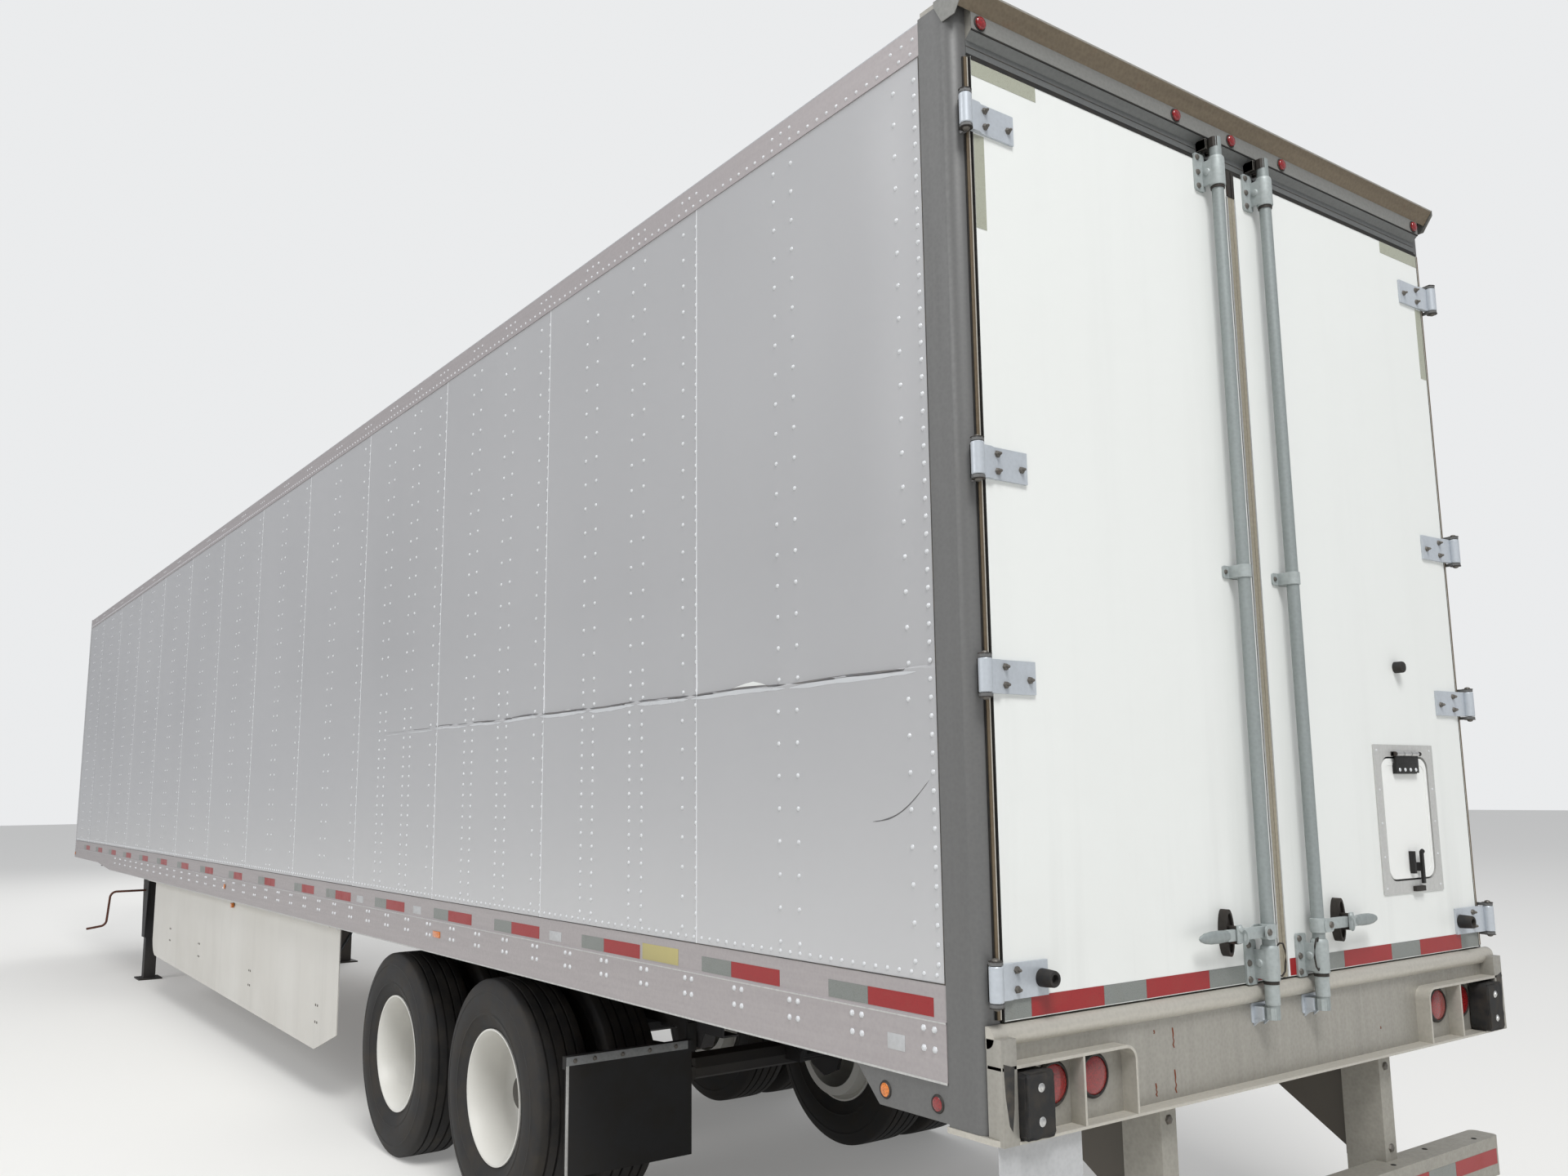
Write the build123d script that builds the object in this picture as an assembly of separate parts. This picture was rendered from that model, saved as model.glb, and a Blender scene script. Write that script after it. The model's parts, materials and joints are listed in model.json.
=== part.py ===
"""A 53 ft dry van semi trailer on a sliding tandem, parked on its landing legs.

Everything is drawn in millimetres with X forward from the rear plane, Y to the
left of the centreline and Z up from the road. When a node is written it moves to
the trailer's own frame, whose origin is on the kingpin's axis, in the lower face
of the coupler plate.
"""
import os
from math import cos, pi, radians, sin, tau

from build123d import *

# Overall size: 53 ft long, 102 in wide over the bottom rails, 13 ft 6 in high
LENGTH = 16154
WIDTH = 2591
HEIGHT = 4115
KINGPIN_SETBACK = 914
COUPLER_Z = 1118

# Clearances between pieces that seat on each other, and between moving pieces
SEAT = 0.3
RUNNING = 0.05
SWING_GAP = 7

# Sides of the rings and bars that stand for round ones
WHEEL_SIDES = 24
KINGPIN_SIDES = 12
BAR_SIDES = 8
PIN_SIDES = 8

# Body shell
OUTER_Y = WIDTH / 2
RAIL_PROUD = 5.5
SHEET_Y = OUTER_Y - RAIL_PROUD
WALL = 45
WALL_Y = SHEET_Y - WALL
FLOOR_Z = 1235
FLOOR_THICK = 35
BOTTOM_RAIL_Z = 1068
RAIL_BAND_Z = 1225
RAIL_TOP_Z = FLOOR_Z + 85
RAIL_WEB = 10
RAIL_FOOT = 60
RAIL_RISE_START = LENGTH - 2754
RAIL_RISE_END = LENGTH - 1954
ROOF_Z = HEIGHT - 17
TOP_RAIL_Z = ROOF_Z - 113
TOP_RAIL_PROUD = 3
TOP_RAIL_LEG = 12
TOP_RAIL_LEDGE = 58
TOP_RAIL_Y = SHEET_Y + TOP_RAIL_PROUD
ROOF_SHEET = 3
BOW_PITCH = 610
BOW_WIDTH = 45
BOW_DEPTH = 37
NOSE_RUN = 130
NOSE_RADIUS = 90

# Crossmembers under the floor
CROSS_PITCH = 305
CROSS_DEPTH = 114
CROSS_FLANGE = 57
CROSS_PLATE = 5
CROSS_TOP = FLOOR_Z - FLOOR_THICK - SEAT
CROSS_LOW = CROSS_TOP - CROSS_DEPTH
CROSS_HALF = SHEET_Y - RAIL_WEB - SEAT
UNDER_Z = CROSS_LOW - SEAT

# Rear frame
POST_DEPTH = 198
POST_Y = SHEET_Y - 55
POST_REAR_X = 60
POST_RADIUS = 40
POST_SHEET = 6
SILL_Z = FLOOR_Z - 285
SILL_FACE_X = 55
SILL_SHEET = 8
SILL_DEPTH = 190
SILL_FOOT = 110
LIP_X = 5
RUB_HALF = 27
RUB_DEPTH = 25
RUB_SIDES = 5
KEEPER_X = 20
VISOR_LIP = 6
HEADER_FACE_X = 35
HEADER_FACE_TOP = HEIGHT - 53
HEADER_FACE_LOW = HEIGHT - 107
HEADER_STEP_Z = HEIGHT - 130
HEADER_Z = HEIGHT - 178
GUSSET_REACH = 580
GUSSET_DROP = 97

# Rear doors and their hardware
DOOR_X = 49
DOOR_THICK = 45
DOOR_Z = FLOOR_Z + 6
DOOR_TOP_Z = HEADER_Z - SWING_GAP
DOOR_SEAM = 4.5
HINGE_X = 27
HINGE_BARREL = 19
HINGE_Y = OUTER_Y - HINGE_BARREL - 0.5
HINGE_PIN = 8
HINGE_HALF = 46
HINGE_GAP = 1.4
HINGE_EAR = 10
HINGE_STRAP = 8
HINGE_STRAP_LENGTH = 206
HINGE_STRAP_END = HINGE_Y - HINGE_STRAP_LENGTH
HINGE_RISES = (99, 889, 1479, 2499)
HINGE_LEVELS = [DOOR_Z + rise for rise in HINGE_RISES]
STOP_RADIUS = 24
STOP_LENGTH = 47
ROD_X = 4
ROD_Y = 134
ROD_RADIUS = 20
ROD_Z = DOOR_Z - 106
ROD_TOP_Z = HEADER_Z + 53
SLEEVE_RADIUS = 27
SLEEVE_LENGTH = 105
ROD_STRAP_Z = 2510
CAM_WIDTH = 30
CAM_HEIGHT = 35
KEEPER_PLATE = 8
HANDLE_Z = DOOR_Z + 154
HANDLE_HUB_Y = 300
HANDLE_END_Y = 478

# Vent hatch in the right door
VENT_Y = 811
VENT_WIDTH = 312
VENT_Z = DOOR_Z + 259
VENT_HEIGHT = 430
VENT_FRAME = 42
VENT_FLANGE = 4
VENT_LID = 12
VENT_GAP = 6
VENT_PIN_UP = 16
VENT_PIN_X = 33
VENT_PIN_Z = VENT_Z + VENT_HEIGHT - VENT_GAP + VENT_PIN_UP
VENT_PIN = 4
VENT_BARREL = 8
VENT_BARREL_HALF = 75
VENT_EAR = 12
VENT_STRAP_HEIGHT = 34
VENT_LEVER_WIDTH = 17
VENT_LEVER_HEIGHT = 77
LID_STOP_RADIUS = 21
LID_STOP_LENGTH = 33
LID_STOP_RISE = 310

# Wheels: 11R22.5 twins on 22.5 in disc wheels
TYRE_RADIUS = 507
# Half section of a tyre, as columns: radius and half width
TYRE_SECTION = ((400, 139), (468, 129), (TYRE_RADIUS, 108))
TYRE_BEAD = 106
RIM_RADIUS = 289
RIM_HALF = 112
RIM_DEPTH = 29
TWIN_OUTER_Y = OUTER_Y - 152.5
TWIN_PITCH = 337
TWIN_INNER_Y = TWIN_OUTER_Y - TWIN_PITCH
DISC_Y = TWIN_OUTER_Y - 188
DISC_THICK = 65
DISC_DISH = 20
HUB_CAP_RADIUS = 85
HUB_CAP_Y = DISC_Y + 175
DRUM_RADIUS = 212
DRUM_Y = DISC_Y - 315
AXLES_X = {"rear": 3200, "front": 4445}

# Axles and brakes
AXLE_RADIUS = 63.5
SPINDLE_RADIUS = 38
SPINDLE_Y = DISC_Y + 45
SPIDER_RADIUS = 150
SPIDER_THICK = 20
CHAMBER_RADIUS = 78
CHAMBER_LENGTH = 240
CAM_TUBE_RADIUS = 22
CAM_TUBE_BACK = 106

# Sliding bogie and its leaf springs
SPRING_WIDTH = 70
SPRING_DRUM_GAP = 55
SPRING_Y = DRUM_Y - SPRING_DRUM_GAP - SPRING_WIDTH / 2
CHAMBER_INSET = 220
CHAMBER_Y = SPRING_Y - CHAMBER_INSET
LEAF_THICK = 20
LEAF_RISE = 50
LEAF_BENDS = (130, 260, 420, 580)
LEAF_HALVES = LEAF_BENDS[1:]
SEAT_PAD_Z = TYRE_RADIUS + 113
RAIL_BOX = 80
SLIDER_Z = 900
SLIDER_START = 900
SLIDER_END = 7100
BOGIE_Z = SLIDER_Z - 100
BOGIE_START = AXLES_X["rear"] - 850
BOGIE_END = AXLES_X["front"] + 905
CHANNEL_PLATE = 8
HANGER_HALF = 80
CENTRE_HANGER_HALF = 145
HANGER_FLARE = 1.5

# Air tank
TANK_X = SLIDER_END - 2 * CROSS_PITCH
TANK_STRAP_PLATE = 10
TANK_RADIUS = 120
TANK_HALF = 350
TANK_DROP = 20
TANK_STRAP_Y = 200
TANK_STRAP = 20

# Mud flaps
FLAP_X = AXLES_X["rear"] - 650
FLAP_Z = 300
FLAP_TOP_Z = 770
FLAP_THICK = 8
FLAP_OUTER_Y = OUTER_Y - 75
FLAP_WIDTH = 600
FLAP_BAR = 25
FLAP_BAR_HEIGHT = 50

# Underride guard
GUARD_BAR_Z = 470
GUARD_BAR_HEIGHT = 130
GUARD_BAR_X = 10
GUARD_BAR_DEPTH = 100
GUARD_HALF = OUTER_Y - 125.5
GUARD_POST_Y = 570
GUARD_POST_WIDTH = 70
GUARD_POST_DEPTH = 140
GUARD_GUSSET_REACH = 650
GUARD_GUSSET_END = 60
GUARD_WELD = 10

# Side skirts
SKIRT_Y = OUTER_Y - 77.5
SKIRT_THICK = 6
SKIRT_REAR_X = 5554
SKIRT_FRONT_X = LENGTH - 4954
SKIRT_REAR_Z = 295
SKIRT_FRONT_Z = 385
SKIRT_CORNER_RUN = 433
SKIRT_CORNER_RISE = 140
SKIRT_RADIUS = 160
STRUT_BAYS = 4
STRUT_FOOT_Z = 595
STRUT_WIDTH = 40
STRUT_THICK = 6
STRUT_FOOT = 60
STRUT_PLATE = 10
STRUT_HEAD_Y = SKIRT_Y - 318

# Landing gear
LEG_X = LENGTH - 3634
LEG_Y = 1000
LEG_BOX = 135
LEG_TUBE = 110
LEG_BOX_Z = 420
FOOT_LENGTH = 260
FOOT_WIDTH = 220
FOOT_PLATE = 14
WING_HALF = 150
WING_PLATE = 8
BRACE_WIDTH = 50
BRACE_Z = LEG_BOX_Z + LEG_BOX
BRACE_TOP_Z = 908
BRACE_REACH = 1250
BRACE_END = 70
CRANK_Z = 890
CRANK_OUT = 105
CRANK_OUT_Y = OUTER_Y + CRANK_OUT
CRANK_DROP = 330
CRANK_GRIP = 200
CRANK_LEAN = 25
CRANK_BEND = 60
CRANK_RADIUS = 11
CRANK_SIDES = 6
CROSS_SHAFT_RADIUS = 16

# Coupler and kingpin: the 2 in pin of heavy road tractors
COUPLER_LENGTH = 1900
COUPLER_PLATE = 10
COUPLER_BEAMS = 6
KINGPIN_COLLAR = 36.5
KINGPIN_NECK = 25.4
KINGPIN_FLANGE = 35.7
KINGPIN_DROP = 84
KINGPIN_COLLAR_DROP = 35
KINGPIN_FLANGE_HEIGHT = 14

# Lamps
STOP_LAMP_Z = SILL_Z + 117
STOP_LAMPS_Y = (OUTER_Y - 395.5, OUTER_Y - 235.5)
STOP_LAMP_RADIUS = 50
LAMP_PROUD = 14
MARKER_RADIUS = 19
MARKER_PROUD = 5
HEADER_LAMP_Z = HEIGHT - 81
HEADER_LAMP_PITCH = 300
CORNER_LAMP_Y = OUTER_Y - 95.5
HEADER_LAMPS_Y = (-CORNER_LAMP_Y, -HEADER_LAMP_PITCH, 0, HEADER_LAMP_PITCH, CORNER_LAMP_Y)
RAIL_LAMP_Z = RAIL_BAND_Z - 60
SIDE_LAMP_X = 8150
NOSE_LAMP_SETBACK = 190
GUSSET_LAMP_Z = BOTTOM_RAIL_Z - 54
GUSSET_LAMPS_X = {"red": 244, "amber": 456}

# Dock bumpers, number plate and nose couplings
BUMPER_PROUD = 22
BUMPER_WIDTH = 112
BUMPER_RADIUS = 15
PLATE_WIDTH = 305
PLATE_HEIGHT = 152
PLATE_X = 30
PLATE_THICK = 2
PLATE_EDGE = 5
COUPLING_Z = FLOOR_Z + 215
COUPLING_Y = 200
COUPLING_BASE = 50
COUPLING_RADIUS = 28
COUPLING_REACH = 35
SOCKET_RADIUS = 38
COUPLING_THICK = 20


def block(x0, x1, y0, y1, z0, z1):
    """A plate or bar between two corners."""
    middle = Pos((x0 + x1) / 2, (y0 + y1) / 2, (z0 + z1) / 2)
    return middle * Box(x1 - x0, y1 - y0, z1 - z0)


def rail(section, x0, x1):
    """A section of (y, z) points drawn out along X."""
    outline = Wire.make_polygon([Vector(x0, y, z) for y, z in section], close=True)
    return extrude(Face(outline), amount=x1 - x0, dir=(1, 0, 0))


def plate(outline, y0, y1):
    """An outline of (x, z) points made into a plate across Y."""
    wire = Wire.make_polygon([Vector(x, y0, z) for x, z in outline], close=True)
    return extrude(Face(wire), amount=y1 - y0, dir=(0, 1, 0))


def rod(start, end, radius, sides=BAR_SIDES, turn=0):
    """A bar of flats between two points, the radius out to its corners."""
    run = Vector(*end) - Vector(*start)
    plane = Plane(origin=start, z_dir=run)
    return extrude(plane * RegularPolygon(radius, sides, rotation=turn), amount=run.length)


def bore(start, end, pin_radius):
    """What is cut away for a pin to turn in: its flats run just clear of the pin's corners."""
    half_step = 180 / PIN_SIDES
    return rod(start, end, (pin_radius + RUNNING) / cos(radians(half_step)), PIN_SIDES, half_step)


def bar(start, end, width, thick):
    """A flat bar in a plane across X, between two points."""
    run = Vector(*end) - Vector(*start)
    plane = Plane(origin=start, z_dir=run, x_dir=(1, 0, 0))
    return extrude(plane * Rectangle(width, thick), amount=run.length)


def turned(profile, centre, along, sides=WHEEL_SIDES):
    """A closed profile of (radius, offset) points carried round an axis in flats.

    The axis runs through centre along Y or Z. Each radius is that of the flats.
    """
    grow = 1 / cos(pi / sides)

    def point(radius, offset, step):
        angle = tau * (step + 0.5) / sides
        a, b = radius * grow * sin(angle), radius * grow * cos(angle)
        place = Vector(a, offset, -b) if along == "Y" else Vector(a, b, offset)
        return Vector(*centre) + place

    faces = []
    for (r0, o0), (r1, o1) in zip(profile, profile[1:] + profile[:1]):
        if r0 == 0 and r1 == 0:
            continue
        if r0 == 0 or r1 == 0:
            radius, offset = (r0, o0) if r1 == 0 else (r1, o1)
            corners = [point(radius, offset, step) for step in range(sides)]
            faces.append(Face(Wire.make_polygon(corners, close=True)))
            continue
        for step in range(sides):
            corners = [point(r0, o0, step), point(r0, o0, step + 1), point(r1, o1, step + 1), point(r1, o1, step)]
            faces.append(Face(Wire.make_polygon(corners, close=True)))
    return Solid(Shell(faces))


def mirrored(shape):
    """The same piece on the right side."""
    return mirror(shape, Plane.XZ)


def pair(shape):
    """A left piece and its mirror image."""
    return [shape, mirrored(shape)]


# Body shell

def floor_deck():
    """Laminated wood floor on the crossmembers."""
    front = LENGTH - NOSE_RUN - SEAT
    return block(POST_DEPTH + SEAT, front, -CROSS_HALF, CROSS_HALF, FLOOR_Z - FLOOR_THICK, FLOOR_Z)


def crossmembers():
    """Rolled channels at one pitch, each between the two bottom rails."""
    last = LENGTH - COUPLER_LENGTH - CROSS_FLANGE
    beams = []
    x = CROSS_PITCH
    while x < last:
        web = x + CROSS_PLATE
        end = x + CROSS_FLANGE
        outline = (
            (x, CROSS_LOW), (end, CROSS_LOW), (end, CROSS_LOW + CROSS_PLATE), (web, CROSS_LOW + CROSS_PLATE),
            (web, CROSS_TOP - CROSS_PLATE), (end, CROSS_TOP - CROSS_PLATE), (end, CROSS_TOP), (x, CROSS_TOP),
        )
        beams.append(plate(outline, -CROSS_HALF, CROSS_HALF))
        x += CROSS_PITCH
    return beams


def bottom_rail():
    """Side rail with its proud lower band, foot flange and shallower nose."""
    outer = OUTER_Y
    inner = SHEET_Y - RAIL_WEB
    foot = outer - RAIL_FOOT
    section = (
        (foot, BOTTOM_RAIL_Z), (outer, BOTTOM_RAIL_Z), (outer, RAIL_BAND_Z),
        (SHEET_Y, RAIL_BAND_Z + RAIL_PROUD), (SHEET_Y, RAIL_TOP_Z), (inner, RAIL_TOP_Z),
        (inner, BOTTOM_RAIL_Z + RAIL_WEB), (foot, BOTTOM_RAIL_Z + RAIL_WEB),
    )
    body = rail(section, POST_DEPTH + SEAT, LENGTH - NOSE_RUN - SEAT)
    low = BOTTOM_RAIL_Z - RAIL_FOOT
    nose = (
        (RAIL_RISE_START, low), (RAIL_RISE_START, BOTTOM_RAIL_Z), (RAIL_RISE_END, COUPLER_Z),
        (LENGTH, COUPLER_Z), (LENGTH, low),
    )
    return body - plate(nose, foot - RAIL_FOOT, outer + RAIL_FOOT)


def side_wall():
    """Sheet-and-post wall in its whole thickness, from floor to roof bows."""
    web = SHEET_Y - RAIL_WEB
    leg = TOP_RAIL_Y - TOP_RAIL_LEG
    top = ROOF_Z - TOP_RAIL_LEG / 2 - SEAT
    section = (
        (WALL_Y, FLOOR_Z + SEAT), (web - SEAT, FLOOR_Z + SEAT), (web - SEAT, RAIL_TOP_Z + SEAT),
        (SHEET_Y, RAIL_TOP_Z + SEAT), (SHEET_Y, TOP_RAIL_Z - SEAT), (leg - SEAT, TOP_RAIL_Z - SEAT),
        (leg - SEAT, top), (WALL_Y, top),
    )
    return rail(section, POST_DEPTH + SEAT, LENGTH - NOSE_RUN - SEAT)


def top_rail():
    """Angle that takes the side sheets and the roof sheet."""
    outer = TOP_RAIL_Y
    inner = outer - TOP_RAIL_LEG
    ledge = outer - TOP_RAIL_LEDGE
    under = ROOF_Z - TOP_RAIL_LEG / 2
    section = (
        (inner, TOP_RAIL_Z), (outer, TOP_RAIL_Z), (outer, ROOF_Z - TOP_RAIL_LEG),
        (outer - TOP_RAIL_LEG, ROOF_Z), (ledge, ROOF_Z), (ledge, under), (inner, under),
    )
    return rail(section, POST_DEPTH + SEAT, LENGTH - NOSE_RUN - SEAT)


def roof():
    """One roof sheet, and the bows that hang across under it."""
    outer = TOP_RAIL_Y - TOP_RAIL_LEG
    front = LENGTH - LIP_X
    sheet = block(SILL_DEPTH + SEAT, front, -outer, outer, ROOF_Z + SEAT, ROOF_Z + SEAT + ROOF_SHEET)
    corners = sheet.edges().filter_by(Axis.Z).group_by(Axis.X)[-1]
    pieces = [fillet(corners, NOSE_RADIUS)]
    half = TOP_RAIL_Y - TOP_RAIL_LEDGE - SEAT
    x = POST_DEPTH + BOW_PITCH / 2
    while x < LENGTH - NOSE_RUN - BOW_WIDTH:
        pieces.append(block(x, x + BOW_WIDTH, -half, half, ROOF_Z - BOW_DEPTH, ROOF_Z))
        x += BOW_PITCH
    return pieces


def front_wall():
    """Nose with rounded corners, its sill and the band that meets the bottom rails."""
    back = LENGTH - NOSE_RUN
    outer = TOP_RAIL_Y
    shell = block(back, LENGTH, -outer, outer, COUPLER_Z, ROOF_Z)
    shell = fillet(shell.edges().filter_by(Axis.Z).group_by(Axis.X)[-1], NOSE_RADIUS)
    deck = FLOOR_Z - FLOOR_THICK
    for low, high in ((COUPLER_Z, deck), (FLOOR_Z, ROOF_Z)):
        room = block(back, LENGTH - WALL, -WALL_Y, WALL_Y, low, high)
        shell -= fillet(room.edges().filter_by(Axis.Z).group_by(Axis.X)[-1], NOSE_RADIUS - WALL)
    return shell


# Rear frame

def post_outline(inset):
    """Plan of the left corner post, or of its hollow when inset."""
    side = TOP_RAIL_Y - inset
    rear = POST_REAR_X + inset
    inner = POST_Y + inset
    radius = POST_RADIUS - inset
    turn = radius * (1 - cos(radians(45)))
    front = POST_DEPTH - inset
    return Wire([
        Edge.make_line((front, inner), (front, side)),
        Edge.make_line((front, side), (rear + radius, side)),
        Edge.make_three_point_arc((rear + radius, side), (rear + turn, side - turn), (rear, side - radius)),
        Edge.make_line((rear, side - radius), (rear, inner)),
        Edge.make_line((rear, inner), (front, inner)),
    ])


def rear_post():
    """Corner post with the door's hinge ears and pins and the gusset under the rail."""
    height = ROOF_Z - SILL_Z - 2 * SILL_SHEET
    base = Pos(0, 0, SILL_Z + 2 * SILL_SHEET)
    post = base * extrude(Face(post_outline(0)), amount=height)
    post -= base * extrude(Face(post_outline(POST_SHEET)), amount=height)
    ear_top = HINGE_HALF + HINGE_GAP
    for z in HINGE_LEVELS:
        for low in (z - ear_top - HINGE_EAR, z + ear_top):
            high = low + HINGE_EAR
            ear = rod((HINGE_X, HINGE_Y, low), (HINGE_X, HINGE_Y, high), HINGE_BARREL, PIN_SIDES)
            edge = HINGE_Y - HINGE_BARREL
            arm = block(HINGE_X, POST_REAR_X + POST_SHEET, edge, HINGE_Y - HINGE_PIN, low, high)
            post += ear + arm
        reach = ear_top + HINGE_EAR
        post += rod((HINGE_X, HINGE_Y, z - reach), (HINGE_X, HINGE_Y, z + reach), HINGE_PIN, PIN_SIDES)
    low = BOTTOM_RAIL_Z - GUSSET_DROP
    outline = (
        (POST_DEPTH, BOTTOM_RAIL_Z - SEAT), (GUSSET_REACH, BOTTOM_RAIL_Z - SEAT),
        (GUSSET_REACH - GUSSET_DROP, low), (POST_DEPTH, low),
    )
    return post + plate(outline, SHEET_Y - POST_SHEET, SHEET_Y)


def rear_header():
    """Header with the sloping soffit of its visor and the lock rods' upper keepers."""
    outer = POST_Y - SEAT
    section = (
        (0, HEIGHT), (0, HEIGHT - VISOR_LIP), (HEADER_FACE_X, HEADER_FACE_TOP), (HEADER_FACE_X, HEADER_FACE_LOW),
        (POST_REAR_X, HEADER_STEP_Z), (POST_REAR_X, HEADER_Z), (SILL_DEPTH, HEADER_Z), (SILL_DEPTH, HEIGHT),
    )
    beam = plate(section, -outer, outer)
    beam -= block(
        POST_REAR_X + POST_SHEET, SILL_DEPTH - POST_SHEET, -outer, outer,
        HEADER_Z + POST_SHEET, ROOF_Z - POST_SHEET,
    )
    cap = (
        (0, HEIGHT), (0, HEIGHT - VISOR_LIP), (POST_REAR_X - HEADER_FACE_X, ROOF_Z + SEAT),
        (SILL_DEPTH, ROOF_Z + SEAT), (SILL_DEPTH, HEIGHT),
    )
    beam += plate(cap, -SHEET_Y, SHEET_Y)
    return beam + keepers(ROD_TOP_Z - CAM_HEIGHT, ROD_TOP_Z, POST_REAR_X)


def keepers(low, high, face_x):
    """Two open-backed pairs of plates that the lock rods' cams stand between."""
    inner = CAM_WIDTH / 2 + SWING_GAP
    plates = None
    for side in (-1, 1):
        for edge in (-1, 1):
            near = side * ROD_Y + edge * inner
            far = near + edge * KEEPER_PLATE
            piece = block(KEEPER_X, face_x + 1, min(near, far), max(near, far), low, high)
            plates = piece if plates is None else plates + piece
    return plates


def rear_sill():
    """Rear sill: face, rub rail, lip, lamp boxes and the lower keepers."""
    outer = POST_Y - SEAT
    top = FLOOR_Z
    face = SILL_FACE_X
    section = (
        (face, top), (SILL_DEPTH, top), (SILL_DEPTH, top - SILL_SHEET), (face + SILL_SHEET, top - SILL_SHEET),
        (face + SILL_SHEET, SILL_Z + SILL_SHEET), (SILL_FOOT, SILL_Z + SILL_SHEET), (SILL_FOOT, SILL_Z),
        (LIP_X, SILL_Z), (LIP_X, SILL_Z + SILL_SHEET), (face, SILL_Z + SILL_SHEET),
    )
    sill = plate(section, -outer, outer)
    full = SHEET_Y - SEAT
    half_round = [(face + SILL_SHEET / 2, top), (face + SILL_SHEET / 2, top - 2 * RUB_HALF)]
    for step in range(RUB_SIDES + 1):
        angle = pi * step / RUB_SIDES
        half_round.append((face - RUB_DEPTH * sin(angle), top - RUB_HALF - RUB_HALF * cos(angle)))
    sill += plate(half_round, -full, full)
    for side in (-1, 1):
        near, far = sorted((side * outer, side * full))
        sill += block(LIP_X, face + SILL_SHEET / 2, near, far, SILL_Z, top - RUB_HALF)
        sill += lamp_box(side, full)
    return sill + keepers(ROD_Z, ROD_Z + CAM_HEIGHT, face)


def lamp_box(side, full):
    """Guard plates round one pair of stop lamps."""
    top = STOP_LAMP_Z + STOP_LAMP_RADIUS + 3 * SILL_SHEET
    inner = STOP_LAMPS_Y[0] - STOP_LAMP_RADIUS - 10 * SILL_SHEET
    middle = sum(STOP_LAMPS_Y) / 2
    plates = None
    for near, far, low in (
        (inner, full, top - SILL_SHEET),
        (inner, inner + SILL_SHEET, SILL_Z),
        (middle, middle + SILL_SHEET, SILL_Z),
    ):
        ends = sorted((side * near, side * far))
        piece = block(LIP_X, SILL_FACE_X, ends[0], ends[1], low, top)
        plates = piece if plates is None else plates + piece
    return plates


# Rear doors

def door_panel():
    """Left door leaf."""
    return block(DOOR_X, DOOR_X + DOOR_THICK, DOOR_SEAM, POST_Y - SWING_GAP, DOOR_Z, DOOR_TOP_Z)


def vent_cut(grow):
    """The vent hatch's opening in the right door, grown on all sides."""
    half = VENT_WIDTH / 2 + grow
    cut = block(
        DOOR_X - DOOR_THICK, DOOR_X + 2 * DOOR_THICK, -VENT_Y - half, -VENT_Y + half,
        VENT_Z - grow, VENT_Z + VENT_HEIGHT + grow,
    )
    return cut


def door_right_panel():
    """Right door leaf with the vent hatch's opening."""
    return mirrored(door_panel()) - vent_cut(VENT_FRAME / 2)


def door_hardware():
    """Four hinge straps, the rubber stop's seat and the lock rod with its handle."""
    face = DOOR_X - SEAT
    pieces = []
    for z in HINGE_LEVELS:
        low = z - HINGE_HALF
        high = z + HINGE_HALF
        barrel = rod((HINGE_X, HINGE_Y, low), (HINGE_X, HINGE_Y, high), HINGE_BARREL, PIN_SIDES)
        strap = block(face - HINGE_STRAP, face, HINGE_STRAP_END, HINGE_Y, low, high)
        ends = ((HINGE_X, HINGE_Y, z - 2 * HINGE_HALF), (HINGE_X, HINGE_Y, z + 2 * HINGE_HALF))
        pieces.append(barrel + strap - bore(*ends, HINGE_PIN))
    return pieces + [lock_rod()]


def lock_rod():
    """Lock rod with its cams, guide sleeves, middle strap, handle and retainer."""
    face = DOOR_X - SEAT
    base = ROD_RADIUS / 2
    piece = rod((ROD_X, ROD_Y, ROD_Z), (ROD_X, ROD_Y, ROD_TOP_Z), ROD_RADIUS)
    for low in (ROD_Z, ROD_TOP_Z - CAM_HEIGHT):
        half = CAM_WIDTH / 2
        front = POST_REAR_X - 2 * SWING_GAP
        piece += block(ROD_X - half, front, ROD_Y - half, ROD_Y + half, low, low + CAM_HEIGHT)
    for low in (DOOR_Z + SWING_GAP, DOOR_TOP_Z - SLEEVE_LENGTH - SWING_GAP):
        high = low + SLEEVE_LENGTH
        piece += rod((ROD_X, ROD_Y, low), (ROD_X, ROD_Y, high), SLEEVE_RADIUS)
        piece += block(face - base, face, ROD_Y - 2 * SLEEVE_RADIUS, ROD_Y + SLEEVE_RADIUS, low, high)
        piece += block(ROD_X, face, ROD_Y - SLEEVE_RADIUS, ROD_Y - ROD_RADIUS, low, high)
    low = ROD_STRAP_Z - SLEEVE_RADIUS
    high = ROD_STRAP_Z + SLEEVE_RADIUS
    piece += block(ROD_X, face, ROD_Y - SLEEVE_RADIUS, ROD_Y + SLEEVE_RADIUS, low, high)
    low = HANDLE_Z - CAM_HEIGHT / 2
    high = HANDLE_Z + CAM_HEIGHT / 2
    piece += block(ROD_X - base, ROD_X + base, ROD_Y, HANDLE_HUB_Y, low, high)
    grip = block(ROD_X - ROD_RADIUS, ROD_X + base, HANDLE_HUB_Y - ROD_RADIUS, HANDLE_END_Y, low, high)
    piece += fillet(grip.edges().filter_by(Axis.X).group_by(Axis.Y)[-1], CAM_HEIGHT / 3)
    piece += block(
        face - base, face, HANDLE_HUB_Y - ROD_RADIUS, HANDLE_HUB_Y + ROD_RADIUS,
        HANDLE_Z - 2 * CAM_HEIGHT, HANDLE_Z + 2 * CAM_HEIGHT,
    )
    return piece + rod((ROD_X, HANDLE_HUB_Y, HANDLE_Z), (face, HANDLE_HUB_Y, HANDLE_Z), ROD_RADIUS)


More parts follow.
